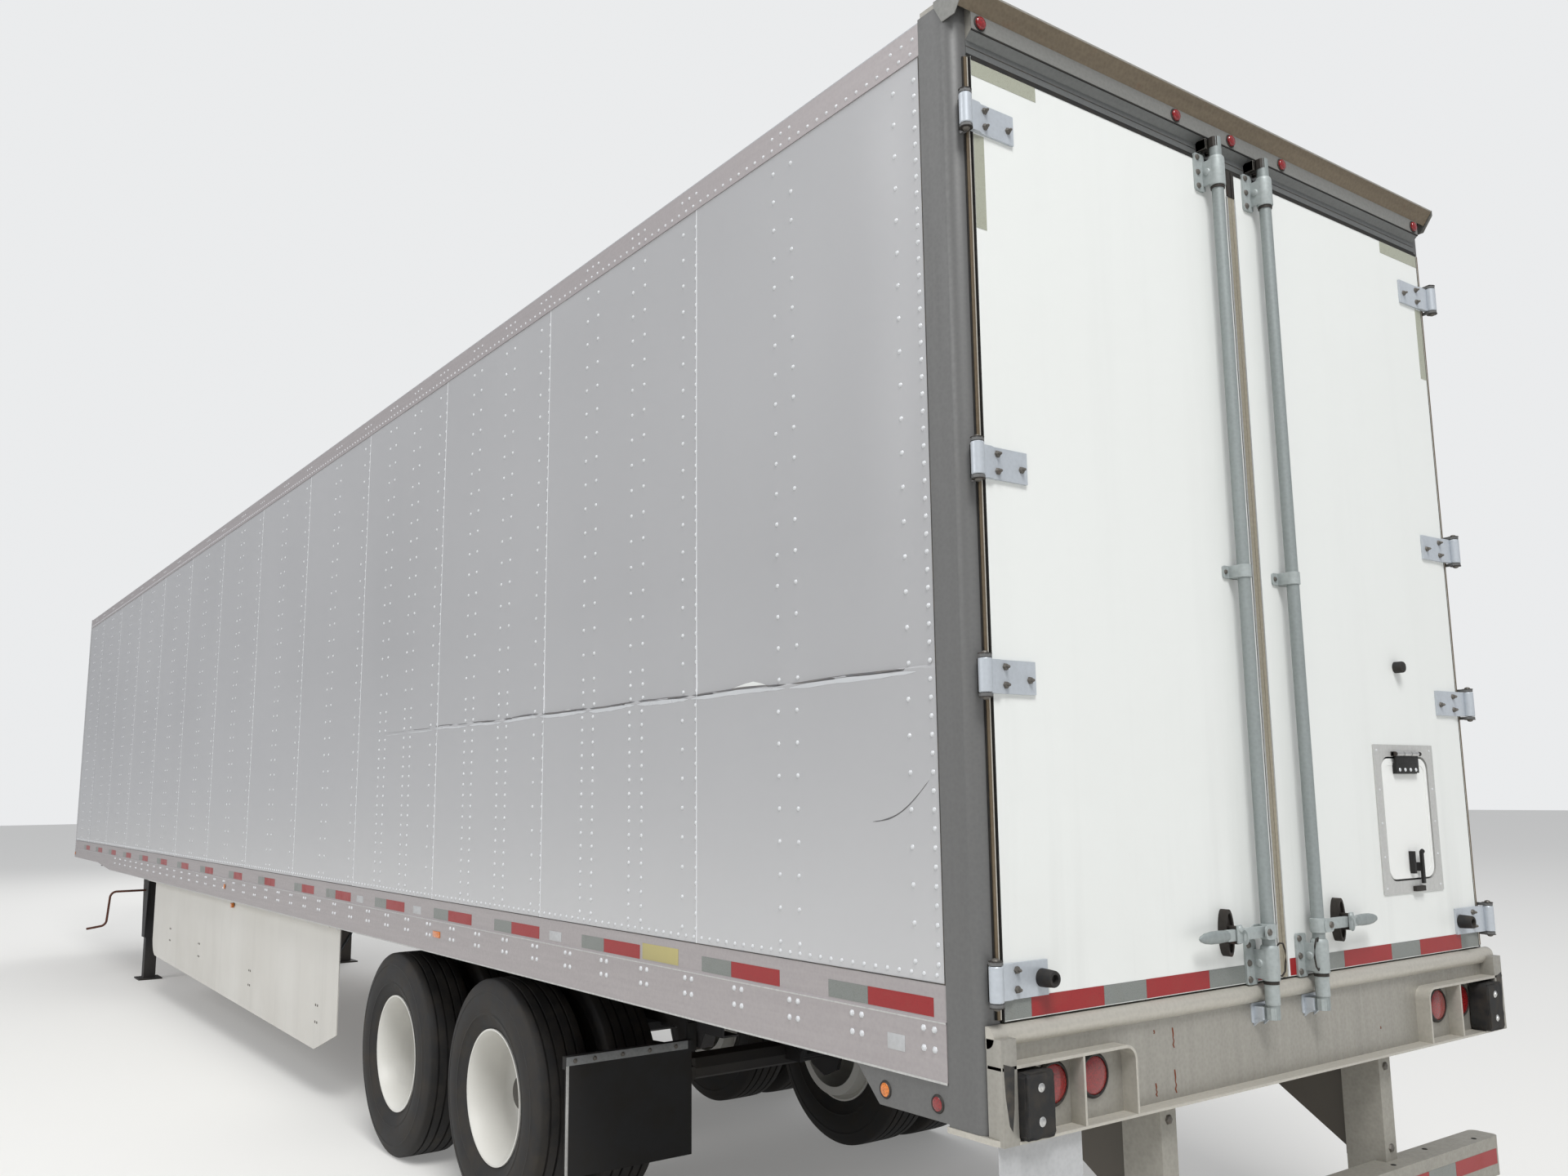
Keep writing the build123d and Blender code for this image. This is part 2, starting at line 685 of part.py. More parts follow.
def door_stops():
    """Rubber stop of each door, on the strap of its lowest hinge."""
    z = HINGE_LEVELS[0]
    y = HINGE_STRAP_END + STOP_RADIUS
    seat = DOOR_X - 2 * SEAT - HINGE_STRAP
    return rod((seat - STOP_LENGTH, y, z), (seat, y, z), STOP_RADIUS)


def lid_stop():
    """Rubber stop on the right door, on which the hatch's lid rests when it is folded up."""
    foot = DOOR_X - SEAT
    z = VENT_PIN_Z + LID_STOP_RISE
    return rod((foot - LID_STOP_LENGTH, -VENT_Y, z), (foot, -VENT_Y, z), LID_STOP_RADIUS, KINGPIN_SIDES)


def vent_frame():
    """Aluminium frame that lines the hatch's opening."""
    half = VENT_WIDTH / 2 + VENT_FRAME
    front = DOOR_X - SEAT
    frame = block(
        front - VENT_FLANGE, front, -VENT_Y - half, -VENT_Y + half,
        VENT_Z - VENT_FRAME, VENT_Z + VENT_HEIGHT + VENT_FRAME,
    )
    half = VENT_WIDTH / 2 + VENT_FRAME / 2 - SEAT
    lining = VENT_FRAME / 2 - SEAT
    frame += block(
        front, DOOR_X + DOOR_THICK, -VENT_Y - half, -VENT_Y + half,
        VENT_Z - lining, VENT_Z + VENT_HEIGHT + lining,
    )
    frame -= vent_cut(0)
    for side in (-1, 1):
        near, far = sorted((side * (VENT_BARREL_HALF + SEAT), side * (VENT_BARREL_HALF + VENT_EAR)))
        frame += block(
            VENT_PIN_X - VENT_BARREL, front, -VENT_Y + near, -VENT_Y + far,
            VENT_PIN_Z - VENT_BARREL, VENT_PIN_Z + VENT_BARREL,
        )
    return frame + vent_pin()


def vent_pin():
    """The lid's hinge pin, from one ear of the frame to the other."""
    reach = VENT_BARREL_HALF + VENT_EAR / 2
    ends = [(VENT_PIN_X, -VENT_Y + side * reach, VENT_PIN_Z) for side in (-1, 1)]
    return rod(*ends, VENT_PIN, PIN_SIDES)


def vent_lid():
    """Hatch lid hung from its top edge, with its latch lever."""
    half = VENT_WIDTH / 2 - VENT_GAP
    low = VENT_Z + VENT_GAP
    high = VENT_Z + VENT_HEIGHT - VENT_GAP
    lid = block(DOOR_X, DOOR_X + VENT_LID, -VENT_Y - half, -VENT_Y + half, low, high)
    lid = fillet(lid.edges().filter_by(Axis.X), VENT_FRAME)
    edge = VENT_LEVER_WIDTH
    y0 = -VENT_Y - VENT_BARREL_HALF
    y1 = -VENT_Y + VENT_BARREL_HALF
    x = VENT_PIN_X
    foot = high - edge - VENT_STRAP_HEIGHT
    lid += block(x + VENT_BARREL, DOOR_X, y0, y1, foot, high - edge)
    lid += block(x, x + VENT_BARREL, y0, y1, foot, VENT_PIN_Z)
    lid += rod((x, y0, VENT_PIN_Z), (x, y1, VENT_PIN_Z), VENT_BARREL, PIN_SIDES)
    lid -= bore((x, y0 - edge, VENT_PIN_Z), (x, y1 + edge, VENT_PIN_Z), VENT_PIN)
    lever_low = low + edge
    lever = (x - VENT_BARREL, DOOR_X, -VENT_Y - edge / 2, -VENT_Y + edge / 2)
    return lid + block(*lever, lever_low, lever_low + VENT_LEVER_HEIGHT)


# Wheels and running gear

def tyres(x):
    """Twin tyres of one wheel end on the left."""
    rings = []
    bead = RIM_RADIUS + SEAT
    for y in (TWIN_INNER_Y, TWIN_OUTER_Y):
        inner = [(r, y - half) for r, half in TYRE_SECTION]
        outer = [(r, y + half) for r, half in reversed(TYRE_SECTION)]
        profile = [(bead, y - TYRE_BEAD)] + inner + outer + [(bead, y + TYRE_BEAD)]
        rings.append(turned(profile, (x, 0, TYRE_RADIUS), "Y"))
    return rings


def wheels(x):
    """Both disc wheels of one end with the hub and brake drum, bored for the spindle."""
    disc_face = DISC_Y + DISC_THICK
    profile = [
        (RIM_RADIUS, TWIN_OUTER_Y + RIM_HALF), (RIM_RADIUS, TWIN_INNER_Y - RIM_HALF),
        (RIM_RADIUS - RIM_DEPTH, DISC_Y), (DRUM_RADIUS, DISC_Y), (DRUM_RADIUS, DRUM_Y), (0, DRUM_Y),
        (0, HUB_CAP_Y), (HUB_CAP_RADIUS, HUB_CAP_Y), (HUB_CAP_RADIUS, disc_face),
        (RIM_RADIUS - RIM_DEPTH, disc_face + DISC_DISH),
    ]
    body = turned(profile, (x, 0, TYRE_RADIUS), "Y")
    near = (x, DRUM_Y - SWING_GAP, TYRE_RADIUS)
    return body - bore(near, (x, SPINDLE_Y + SWING_GAP, TYRE_RADIUS), SPINDLE_RADIUS)


def axle(x):
    """One dead axle with its spindles, spring seats, spiders, cam tubes and chambers."""
    z = TYRE_RADIUS
    tube_end = DRUM_Y - SPIDER_THICK
    cam_x = x - CAM_TUBE_BACK
    back = cam_x - CHAMBER_RADIUS
    seat_end = SPRING_Y + (SPRING_WIDTH - SPIDER_THICK) / 2
    beam = rod((x, -tube_end, z), (x, tube_end, z), AXLE_RADIUS)
    for side in (-1, 1):
        chamber_y = side * CHAMBER_Y
        inner = side * (tube_end - SPIDER_THICK)
        beam += rod((x, side * (tube_end - 1), z), (x, side * SPINDLE_Y, z), SPINDLE_RADIUS, PIN_SIDES)
        beam += rod((x, inner, z), (x, side * tube_end, z), SPIDER_RADIUS)
        near, far = sorted((side * (SPRING_Y - SPRING_WIDTH / 2), side * seat_end))
        beam += block(x - SPRING_WIDTH, x + SPRING_WIDTH, near, far, z, SEAT_PAD_Z)
        beam += rod((cam_x, chamber_y, z), (cam_x, inner, z), CAM_TUBE_RADIUS)
        near, far = sorted((side * (CHAMBER_Y - SPIDER_THICK), chamber_y))
        beam += block(back, x, near, far, z - CAM_TUBE_RADIUS, z + CHAMBER_RADIUS)
        start = (back, chamber_y, z + CAM_TUBE_RADIUS)
        end = (back + CHAMBER_LENGTH / 2, chamber_y, z + CHAMBER_RADIUS)
        beam += rod(start, end, CAM_TUBE_RADIUS)
    return beam


def leaf(x, half, low):
    """One spring leaf, bent up to both ends where every leaf of its stack bends."""
    bends = [run for run in LEAF_BENDS if run <= half]
    under = []
    for run in [-run for run in reversed(bends)] + [0] + bends:
        under.append((x + run, low + LEAF_RISE * (run / LEAF_HALVES[-1]) ** 2))
    over = [(along, z + LEAF_THICK) for along, z in reversed(under)]
    return plate(under + over, SPRING_Y - SPRING_WIDTH / 2, SPRING_Y + SPRING_WIDTH / 2)


def leaf_springs():
    """Three-leaf springs over both axles, each stack fused at its seat."""
    stacks = []
    for x in AXLES_X.values():
        stack = None
        for index, half in enumerate(LEAF_HALVES):
            piece = leaf(x, half, SEAT_PAD_Z + SEAT + index * LEAF_THICK)
            stack = piece if stack is None else stack + piece
        stacks += pair(stack)
    return stacks


def channel(y0, y1, low, high, x0, x1):
    """A side channel, open towards the centreline."""
    section = (
        (y0, low), (y1, low), (y1, high), (y0, high), (y0, high - CHANNEL_PLATE),
        (y1 - CHANNEL_PLATE, high - CHANNEL_PLATE), (y1 - CHANNEL_PLATE, low + CHANNEL_PLATE),
        (y0, low + CHANNEL_PLATE),
    )
    return rail(section, x0, x1)


def slider_rails():
    """The two long body rails that the bogie slides along."""
    half = RAIL_BOX / 2
    return pair(channel(SPRING_Y - half, SPRING_Y + half, SLIDER_Z, UNDER_Z, SLIDER_START, SLIDER_END))


def bogie_frame():
    """Bogie subframe: side channels, cross channels and the spring hangers."""
    half = RAIL_BOX / 2
    top = SLIDER_Z - SEAT
    side = channel(SPRING_Y - half, SPRING_Y + half, BOGIE_Z, top, BOGIE_START, BOGIE_END)
    spring_top = SEAT_PAD_Z + 2 * SEAT + LEAF_RISE + LEAF_THICK * len(LEAF_HALVES)
    rear, front = sorted(AXLES_X.values())
    centre = (rear + front) / 2
    reach = LEAF_HALVES[-1]
    for x, wide in ((rear - reach, HANGER_HALF), (centre, CENTRE_HANGER_HALF), (front + reach, HANGER_HALF)):
        flare = HANGER_FLARE * wide
        outline = ((x - wide, spring_top), (x + wide, spring_top), (x + flare, BOGIE_Z), (x - flare, BOGIE_Z))
        side += plate(outline, SPRING_Y - half + CHANNEL_PLATE, SPRING_Y + half - CHANNEL_PLATE)
    frame = side + mirrored(side)
    inner = SPRING_Y + half - CHANNEL_PLATE
    for x in (BOGIE_START + reach / 2, centre, BOGIE_END - reach / 2):
        frame += block(x - half, x + half, -inner, inner, BOGIE_Z + CHANNEL_PLATE, top - CHANNEL_PLATE)
    return frame


def air_tank():
    """Air reservoir hung in two straps under the crossmembers."""
    z = UNDER_Z - TANK_RADIUS - TANK_DROP
    strap = TANK_RADIUS + TANK_STRAP_PLATE
    tank = rod((TANK_X, -TANK_HALF, z), (TANK_X, TANK_HALF, z), TANK_RADIUS)
    for y in (-TANK_STRAP_Y, TANK_STRAP_Y):
        low = z - TANK_STRAP_PLATE
        tank += block(TANK_X - strap, TANK_X + strap, y - TANK_STRAP, y + TANK_STRAP, low, UNDER_Z)
    return tank


def mud_flaps():
    """Plain flaps behind the rear tyres on their hanger bars."""
    inner = SPRING_Y + RAIL_BOX / 2 + SEAT
    bar_x = FLAP_X + FLAP_THICK
    end = bar_x + FLAP_BAR
    hanger = block(bar_x, end, inner, FLAP_OUTER_Y, FLAP_TOP_Z - FLAP_BAR_HEIGHT, FLAP_TOP_Z)
    hanger += block(bar_x, end, inner, inner + RAIL_BOX / 2, FLAP_TOP_Z, BOGIE_Z + RAIL_BOX / 2)
    flap = block(FLAP_X, bar_x, FLAP_OUTER_Y - FLAP_WIDTH, FLAP_OUTER_Y, FLAP_Z, FLAP_TOP_Z)
    return pair(hanger + flap)


def underride_guard():
    """Rear guard bar on two uprights with their fore-and-aft gussets."""
    bar_end = GUARD_BAR_X + GUARD_BAR_DEPTH
    bar_top = GUARD_BAR_Z + GUARD_BAR_HEIGHT
    beam = block(GUARD_BAR_X, bar_end, -GUARD_HALF, GUARD_HALF, GUARD_BAR_Z, bar_top)
    beam = fillet(beam.edges().filter_by(Axis.Z), GUARD_BAR_DEPTH / 4)
    half = GUARD_POST_WIDTH / 2
    face = SILL_FACE_X + 2 * SILL_SHEET
    front = face + GUARD_POST_DEPTH
    root = front - GUARD_WELD
    tip = front + GUARD_GUSSET_REACH
    outline = ((root, bar_top), (root, UNDER_Z), (tip, UNDER_Z), (tip, UNDER_Z - GUARD_GUSSET_END))
    for side in (-1, 1):
        y = side * GUARD_POST_Y
        beam += block(face, front, y - half, y + half, GUARD_BAR_Z + 2 * GUARD_WELD, SILL_Z - SEAT)
        beam += plate(outline, y - CHANNEL_PLATE / 2, y + CHANNEL_PLATE / 2)
    return beam


# Skirts and landing gear

def side_skirt():
    """Left side skirt: a flat panel with a cut rear corner and a rounded front one."""
    top = BOTTOM_RAIL_Z - SEAT
    y0 = SKIRT_Y - SKIRT_THICK / 2
    outline = (
        (SKIRT_REAR_X, top), (SKIRT_REAR_X, SKIRT_REAR_Z + SKIRT_CORNER_RISE),
        (SKIRT_REAR_X + SKIRT_CORNER_RUN, SKIRT_REAR_Z), (SKIRT_FRONT_X, SKIRT_FRONT_Z), (SKIRT_FRONT_X, top),
    )
    panel = plate(outline, y0, y0 + SKIRT_THICK)
    corner = panel.edges().filter_by(Axis.Y).group_by(Axis.X)[-1].sort_by(Axis.Z)[0]
    panel = fillet(corner, SKIRT_RADIUS)
    return panel + block(SKIRT_REAR_X, SKIRT_FRONT_X, y0, OUTER_Y - SKIRT_THICK, top - SKIRT_THICK, top)


def skirt_struts():
    """Struts from every few crossmembers down to the backs of both skirts."""
    back = SKIRT_Y - SKIRT_THICK / 2 - SEAT
    half = STRUT_WIDTH / 2
    head = STRUT_HEAD_Y
    first = int(SKIRT_REAR_X / CROSS_PITCH) + 2
    last = int(SKIRT_FRONT_X / CROSS_PITCH)
    struts = []
    for bay in range(first, last + 1, STRUT_BAYS):
        x = bay * CROSS_PITCH + CROSS_FLANGE / 2
        foot = (x, back - STRUT_PLATE, STRUT_FOOT_Z)
        strut = bar(foot, (x, head, UNDER_Z - STRUT_THICK), STRUT_WIDTH, STRUT_THICK)
        strut += block(x - half, x + half, back - STRUT_PLATE, back, STRUT_FOOT_Z - STRUT_FOOT, STRUT_FOOT_Z + STRUT_FOOT)
        strut += block(x - half, x + half, head - half, head + half, UNDER_Z - STRUT_PLATE, UNDER_Z)
        struts += pair(strut)
    return struts


def landing_leg():
    """Left landing leg: outer box with its wing plate, inner tube and foot."""
    half = LEG_BOX / 2
    top = BOTTOM_RAIL_Z - SEAT
    leg = block(LEG_X - half, LEG_X + half, LEG_Y - half, LEG_Y + half, LEG_BOX_Z, top)
    tube = LEG_TUBE / 2
    leg += block(LEG_X - tube, LEG_X + tube, LEG_Y - tube, LEG_Y + tube, FOOT_PLATE, LEG_BOX_Z)
    foot = block(
        LEG_X - FOOT_LENGTH / 2, LEG_X + FOOT_LENGTH / 2, LEG_Y - FOOT_WIDTH / 2, LEG_Y + FOOT_WIDTH / 2,
        0, FOOT_PLATE,
    )
    leg += foot
    wing = (
        (LEG_X - WING_HALF, top), (LEG_X + WING_HALF, top), (LEG_X + half, LEG_BOX_Z), (LEG_X - half, LEG_BOX_Z),
    )
    leg += plate(wing, LEG_Y + half, LEG_Y + half + WING_PLATE)
    rim = OUTER_Y - RAIL_FOOT + WING_PLATE
    return leg + block(LEG_X - WING_HALF, LEG_X + WING_HALF, LEG_Y + half, rim, top - WING_PLATE, top)


def landing_braces():
    """Cross brace between the legs and the two rearward braces to the crossmembers."""
    inner = LEG_Y - LEG_BOX / 2 - SEAT
    back = LEG_X - CROSS_SHAFT_RADIUS - 2 * SWING_GAP
    cross = None
    for near, far in ((BRACE_Z, BRACE_TOP_Z), (BRACE_TOP_Z, BRACE_Z)):
        section = ((-inner, near), (-inner, near + BRACE_WIDTH), (inner, far + BRACE_WIDTH), (inner, far))
        piece = rail(section, back - CHANNEL_PLATE, back)
        cross = piece if cross is None else cross + piece
    start = LEG_X - LEG_BOX / 2 - SEAT
    tip = start - BRACE_REACH
    y0 = LEG_Y - BRACE_WIDTH / 2
    outline = ((start, BRACE_Z), (start, BRACE_Z + BRACE_END), (tip, UNDER_Z), (tip - BRACE_END, UNDER_Z))
    return [cross] + pair(plate(outline, y0, y0 + CHANNEL_PLATE))


def landing_crank():
    """Cross shaft between the legs and the crank that hangs at the left."""
    inner = LEG_Y - LEG_BOX / 2 - SEAT
    outer = LEG_Y + LEG_BOX / 2 + WING_PLATE + SEAT
    shaft = rod((LEG_X, -inner, CRANK_Z), (LEG_X, inner, CRANK_Z), CROSS_SHAFT_RADIUS)
    low = CRANK_Z - CRANK_DROP
    route = [
        (LEG_X, outer, CRANK_Z), (LEG_X, CRANK_OUT_Y, CRANK_Z), (LEG_X, CRANK_OUT_Y + CRANK_LEAN, low),
        (LEG_X, CRANK_OUT_Y + CRANK_GRIP, low - CRANK_LEAN),
    ]
    path = FilletPolyline(*route, radius=CRANK_BEND)
    start = Plane(origin=path @ 0, z_dir=path % 0)
    crank = sweep(start * RegularPolygon(CRANK_RADIUS, CRANK_SIDES), path=path)
    return [shaft, crank]


# Coupler

def coupler_plate():
    """Upper coupler: the plate that slides on the fifth wheel, and its cross channels."""
    half = OUTER_Y - RAIL_FOOT - SEAT
    front = LENGTH - NOSE_RUN - SEAT
    back = LENGTH - COUPLER_LENGTH
    deck = block(back, front, -half, half, COUPLER_Z, COUPLER_Z + COUPLER_PLATE)
    pitch = (front - back - CROSS_FLANGE) / (COUPLER_BEAMS - 1)
    for index in range(COUPLER_BEAMS):
        x = back + index * pitch
        deck += block(x, x + CROSS_FLANGE, -half, half, COUPLER_Z + COUPLER_PLATE, CROSS_TOP)
    bare = KINGPIN_NECK + SEAT
    hole = [(0, COUPLER_Z), (bare, COUPLER_Z), (bare, CROSS_TOP), (0, CROSS_TOP)]
    return deck - turned(hole, (LENGTH - KINGPIN_SETBACK, 0, 0), "Z", KINGPIN_SIDES)


def kingpin():
    """Kingpin with its collar, neck and lower flange."""
    face = COUPLER_Z - SEAT
    low = COUPLER_Z - KINGPIN_DROP
    profile = [
        (0, low), (KINGPIN_FLANGE, low), (KINGPIN_FLANGE, low + KINGPIN_FLANGE_HEIGHT),
        (KINGPIN_NECK, low + KINGPIN_FLANGE_HEIGHT), (KINGPIN_NECK, face - KINGPIN_COLLAR_DROP),
        (KINGPIN_COLLAR, face - KINGPIN_COLLAR_DROP), (KINGPIN_COLLAR, face), (KINGPIN_NECK, face),
        (KINGPIN_NECK, COUPLER_Z + COUPLER_PLATE), (0, COUPLER_Z + COUPLER_PLATE),
    ]
    return turned(profile, (LENGTH - KINGPIN_SETBACK, 0, 0), "Z", KINGPIN_SIDES)


# Lamps and small fittings

def red_lamps():
    """Stop lamps, header lamps and the rear side markers."""
    lamps = []
    front = SILL_FACE_X - SEAT
    for y in STOP_LAMPS_Y:
        lamps += pair(rod((front - LAMP_PROUD, y, STOP_LAMP_Z), (front, y, STOP_LAMP_Z), STOP_LAMP_RADIUS))
    front = HEADER_FACE_X - SEAT
    for y in HEADER_LAMPS_Y:
        lamps.append(rod((front - LAMP_PROUD, y, HEADER_LAMP_Z), (front, y, HEADER_LAMP_Z), MARKER_RADIUS))
    return lamps + pair(side_lamp(GUSSET_LAMPS_X["red"], GUSSET_LAMP_Z, SHEET_Y))


def side_lamp(x, z, y):
    """One round marker lamp on a face that looks to the left."""
    return rod((x, y + SEAT, z), (x, y + SEAT + MARKER_PROUD, z), MARKER_RADIUS)


def amber_lamps():
    """Side and front marker lamps."""
    lamps = pair(side_lamp(GUSSET_LAMPS_X["amber"], GUSSET_LAMP_Z, SHEET_Y))
    for x in (LENGTH - NOSE_LAMP_SETBACK, SIDE_LAMP_X):
        lamps += pair(side_lamp(x, RAIL_LAMP_Z, OUTER_Y))
    front = LENGTH + SEAT
    corner = SHEET_Y - 2 * NOSE_RADIUS
    for y in (-corner, corner):
        lamps.append(rod((front, y, HEADER_LAMP_Z), (front + LAMP_PROUD, y, HEADER_LAMP_Z), MARKER_RADIUS))
    return lamps


def dock_bumpers():
    """Rubber blocks outboard of the stop lamps."""
    low = SILL_Z + SILL_SHEET + SEAT
    top = STOP_LAMP_Z + STOP_LAMP_RADIUS + SILL_SHEET
    outer = POST_Y - 2 * SEAT
    rubber = block(-BUMPER_PROUD, SILL_FACE_X - SEAT, outer - BUMPER_WIDTH, outer, low, top)
    return pair(fillet(rubber.edges().filter_by(Axis.Y).group_by(Axis.X)[0], BUMPER_RADIUS))


def number_plate():
    """Blank plate under the left end of the sill."""
    top = SILL_Z - SEAT
    outer = SHEET_Y - PLATE_EDGE
    return block(PLATE_X, PLATE_X + PLATE_THICK, outer - PLATE_WIDTH, outer, top - PLATE_HEIGHT, top)


def nose_couplings():
    """Two air couplings and the electrical socket on the nose."""
    face = LENGTH + SEAT
    base = face + COUPLING_THICK
    tip = base + COUPLING_REACH
    low = COUPLING_Z - COUPLING_BASE
    high = COUPLING_Z + COUPLING_BASE
    pieces = []
    for y, radius in ((-COUPLING_Y, COUPLING_RADIUS), (0, SOCKET_RADIUS), (COUPLING_Y, COUPLING_RADIUS)):
        foot = block(face, base, y - COUPLING_BASE, y + COUPLING_BASE, low, high)
        pieces.append(foot + rod((base, y, COUPLING_Z), (tip, y, COUPLING_Z), radius))
    return pieces


def as_list(shape):
    """The solids of one shape or of a list of shapes."""
    shapes = shape if isinstance(shape, list) else [shape]
    return [solid for one in shapes for solid in one.solids()]


def write(name, shape):
    """Move a node to the kingpin's frame and write it."""
    to_kingpin = Pos(KINGPIN_SETBACK - LENGTH, 0, -COUPLER_Z)
    solids = [to_kingpin * solid for solid in as_list(shape)]
    node = solids[0] if len(solids) == 1 else Compound(solids)
    export_step(node, f"parts/{name}.step")


def main():
    os.makedirs("parts", exist_ok=True)
    nodes = {
        "floor_deck": floor_deck(),
        "crossmembers": crossmembers(),
        "roof": roof(),
        "front_wall": front_wall(),
        "rear_header": rear_header(),
        "rear_sill": rear_sill(),
        "coupler_plate": coupler_plate(),
        "kingpin": kingpin(),
        "landing_braces": landing_braces(),
        "landing_crank": landing_crank(),
        "skirt_struts": skirt_struts(),
        "slider_rails": slider_rails(),
        "bogie_frame": bogie_frame(),
        "leaf_springs": leaf_springs(),
        "air_tank": air_tank(),
        "mud_flaps": mud_flaps(),
        "underride_guard": underride_guard(),
        "red_lamps": red_lamps(),
        "amber_lamps": amber_lamps(),
        "dock_bumpers": dock_bumpers(),
        "number_plate": number_plate(),
        "nose_couplings": nose_couplings(),
        "door_left_panel": door_panel(),
        "door_right_panel": door_right_panel(),
        "door_left_hardware": door_hardware(),
        "door_right_hardware": [mirrored(piece) for piece in door_hardware()],
        "door_left_stop": door_stops(),
        "door_right_stop": [mirrored(door_stops()), lid_stop()],
        "vent_frame": vent_frame(),
        "vent_lid": vent_lid(),
    }
    for name, make in (
        ("bottom_rail", bottom_rail), ("side_wall", side_wall), ("top_rail", top_rail),
        ("rear_post", rear_post), ("side_skirt", side_skirt), ("landing_leg", landing_leg),
    ):
        left = make()
        nodes[f"{name}_left"] = left
        nodes[f"{name}_right"] = mirrored(left)
    for end, x in AXLES_X.items():
        nodes[f"axle_{end}"] = axle(x)
        nodes[f"tyres_{end}_left"] = tyres(x)
        nodes[f"tyres_{end}_right"] = [mirrored(ring) for ring in tyres(x)]
        nodes[f"wheels_{end}_left"] = wheels(x)
        nodes[f"wheels_{end}_right"] = mirrored(wheels(x))
    for name, shape in nodes.items():
        write(name, shape)


if __name__ == "__main__":
    main()
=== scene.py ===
"""Looks of the semi trailer: a sheet-and-post dry van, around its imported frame."""
import json
from math import cos, pi, radians, sin, tau

import bmesh
import bpy
from mathutils import Matrix, Vector, noise


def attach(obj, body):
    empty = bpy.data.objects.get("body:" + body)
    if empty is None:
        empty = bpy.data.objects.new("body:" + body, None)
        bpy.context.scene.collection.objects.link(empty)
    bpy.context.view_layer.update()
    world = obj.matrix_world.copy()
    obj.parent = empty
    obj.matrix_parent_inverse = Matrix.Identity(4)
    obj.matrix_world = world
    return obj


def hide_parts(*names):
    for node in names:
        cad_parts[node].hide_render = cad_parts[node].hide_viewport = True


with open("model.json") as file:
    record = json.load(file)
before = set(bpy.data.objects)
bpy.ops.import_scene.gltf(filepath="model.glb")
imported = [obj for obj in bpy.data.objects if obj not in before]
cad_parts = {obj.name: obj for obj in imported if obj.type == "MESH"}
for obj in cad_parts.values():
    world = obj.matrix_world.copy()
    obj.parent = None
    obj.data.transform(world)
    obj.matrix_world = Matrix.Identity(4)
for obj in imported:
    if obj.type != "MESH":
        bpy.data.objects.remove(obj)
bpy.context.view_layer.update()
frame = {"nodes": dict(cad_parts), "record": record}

# The trailer is measured in metres forward of its rear plane and up from the road,
# and the frame has its origin at the kingpin.
REAR_X = -15.24
ROAD_Z = -1.118

# Body
LENGTH = 16.154
OUTER_Y = 1.2955
SHEET_Y = 1.29
WALL = 0.045
FLOOR_TOP = 1.235
RAIL_LOW = 1.068
RAIL_BAND = 1.225
RAIL_TOP = 1.32
TOP_RAIL_LOW = 3.985
WALL_REAR = 0.1983
WALL_FRONT = LENGTH - 0.1303

# Rear doors
DOOR_FACE = 0.049
DOOR_LOW = 1.241
DOOR_TOP = 3.93
HINGE_X = 0.027
HINGE_Y = 1.276
HINGE_LEVELS = (1.34, 2.13, 2.72, 3.74)
VENT_Y = 0.811
ROD_X = 0.004
ROD_Y = 0.134

# Wheels
TYRE_RADIUS = 0.507
TWINS_Y = (0.806, 1.143)
AXLES = {"rear": 3.2, "front": 4.445}

# Camera, solved from the photograph
CAMERA = (-17.6396, 3.6933, 0.7146)
CAMERA_LENS = 29.445
CAMERA_YAW = radians(-35.99)
CAMERA_PITCH = radians(9.00)
CAMERA_ROLL = radians(-0.62)

RNG_STEP = 12.9898
RNG_SCALE = 43758.5453
FALL = 2.718


def at(x, y, z):
    """A point of the trailer in the frame."""
    return Vector((x + REAR_X, y, z + ROAD_Z))


def chance(index, low=0.0, high=1.0):
    """A steady value between low and high that looks random."""
    value = sin(index * RNG_STEP) * RNG_SCALE
    return low + (high - low) * (value - int(value // 1))


# Materials

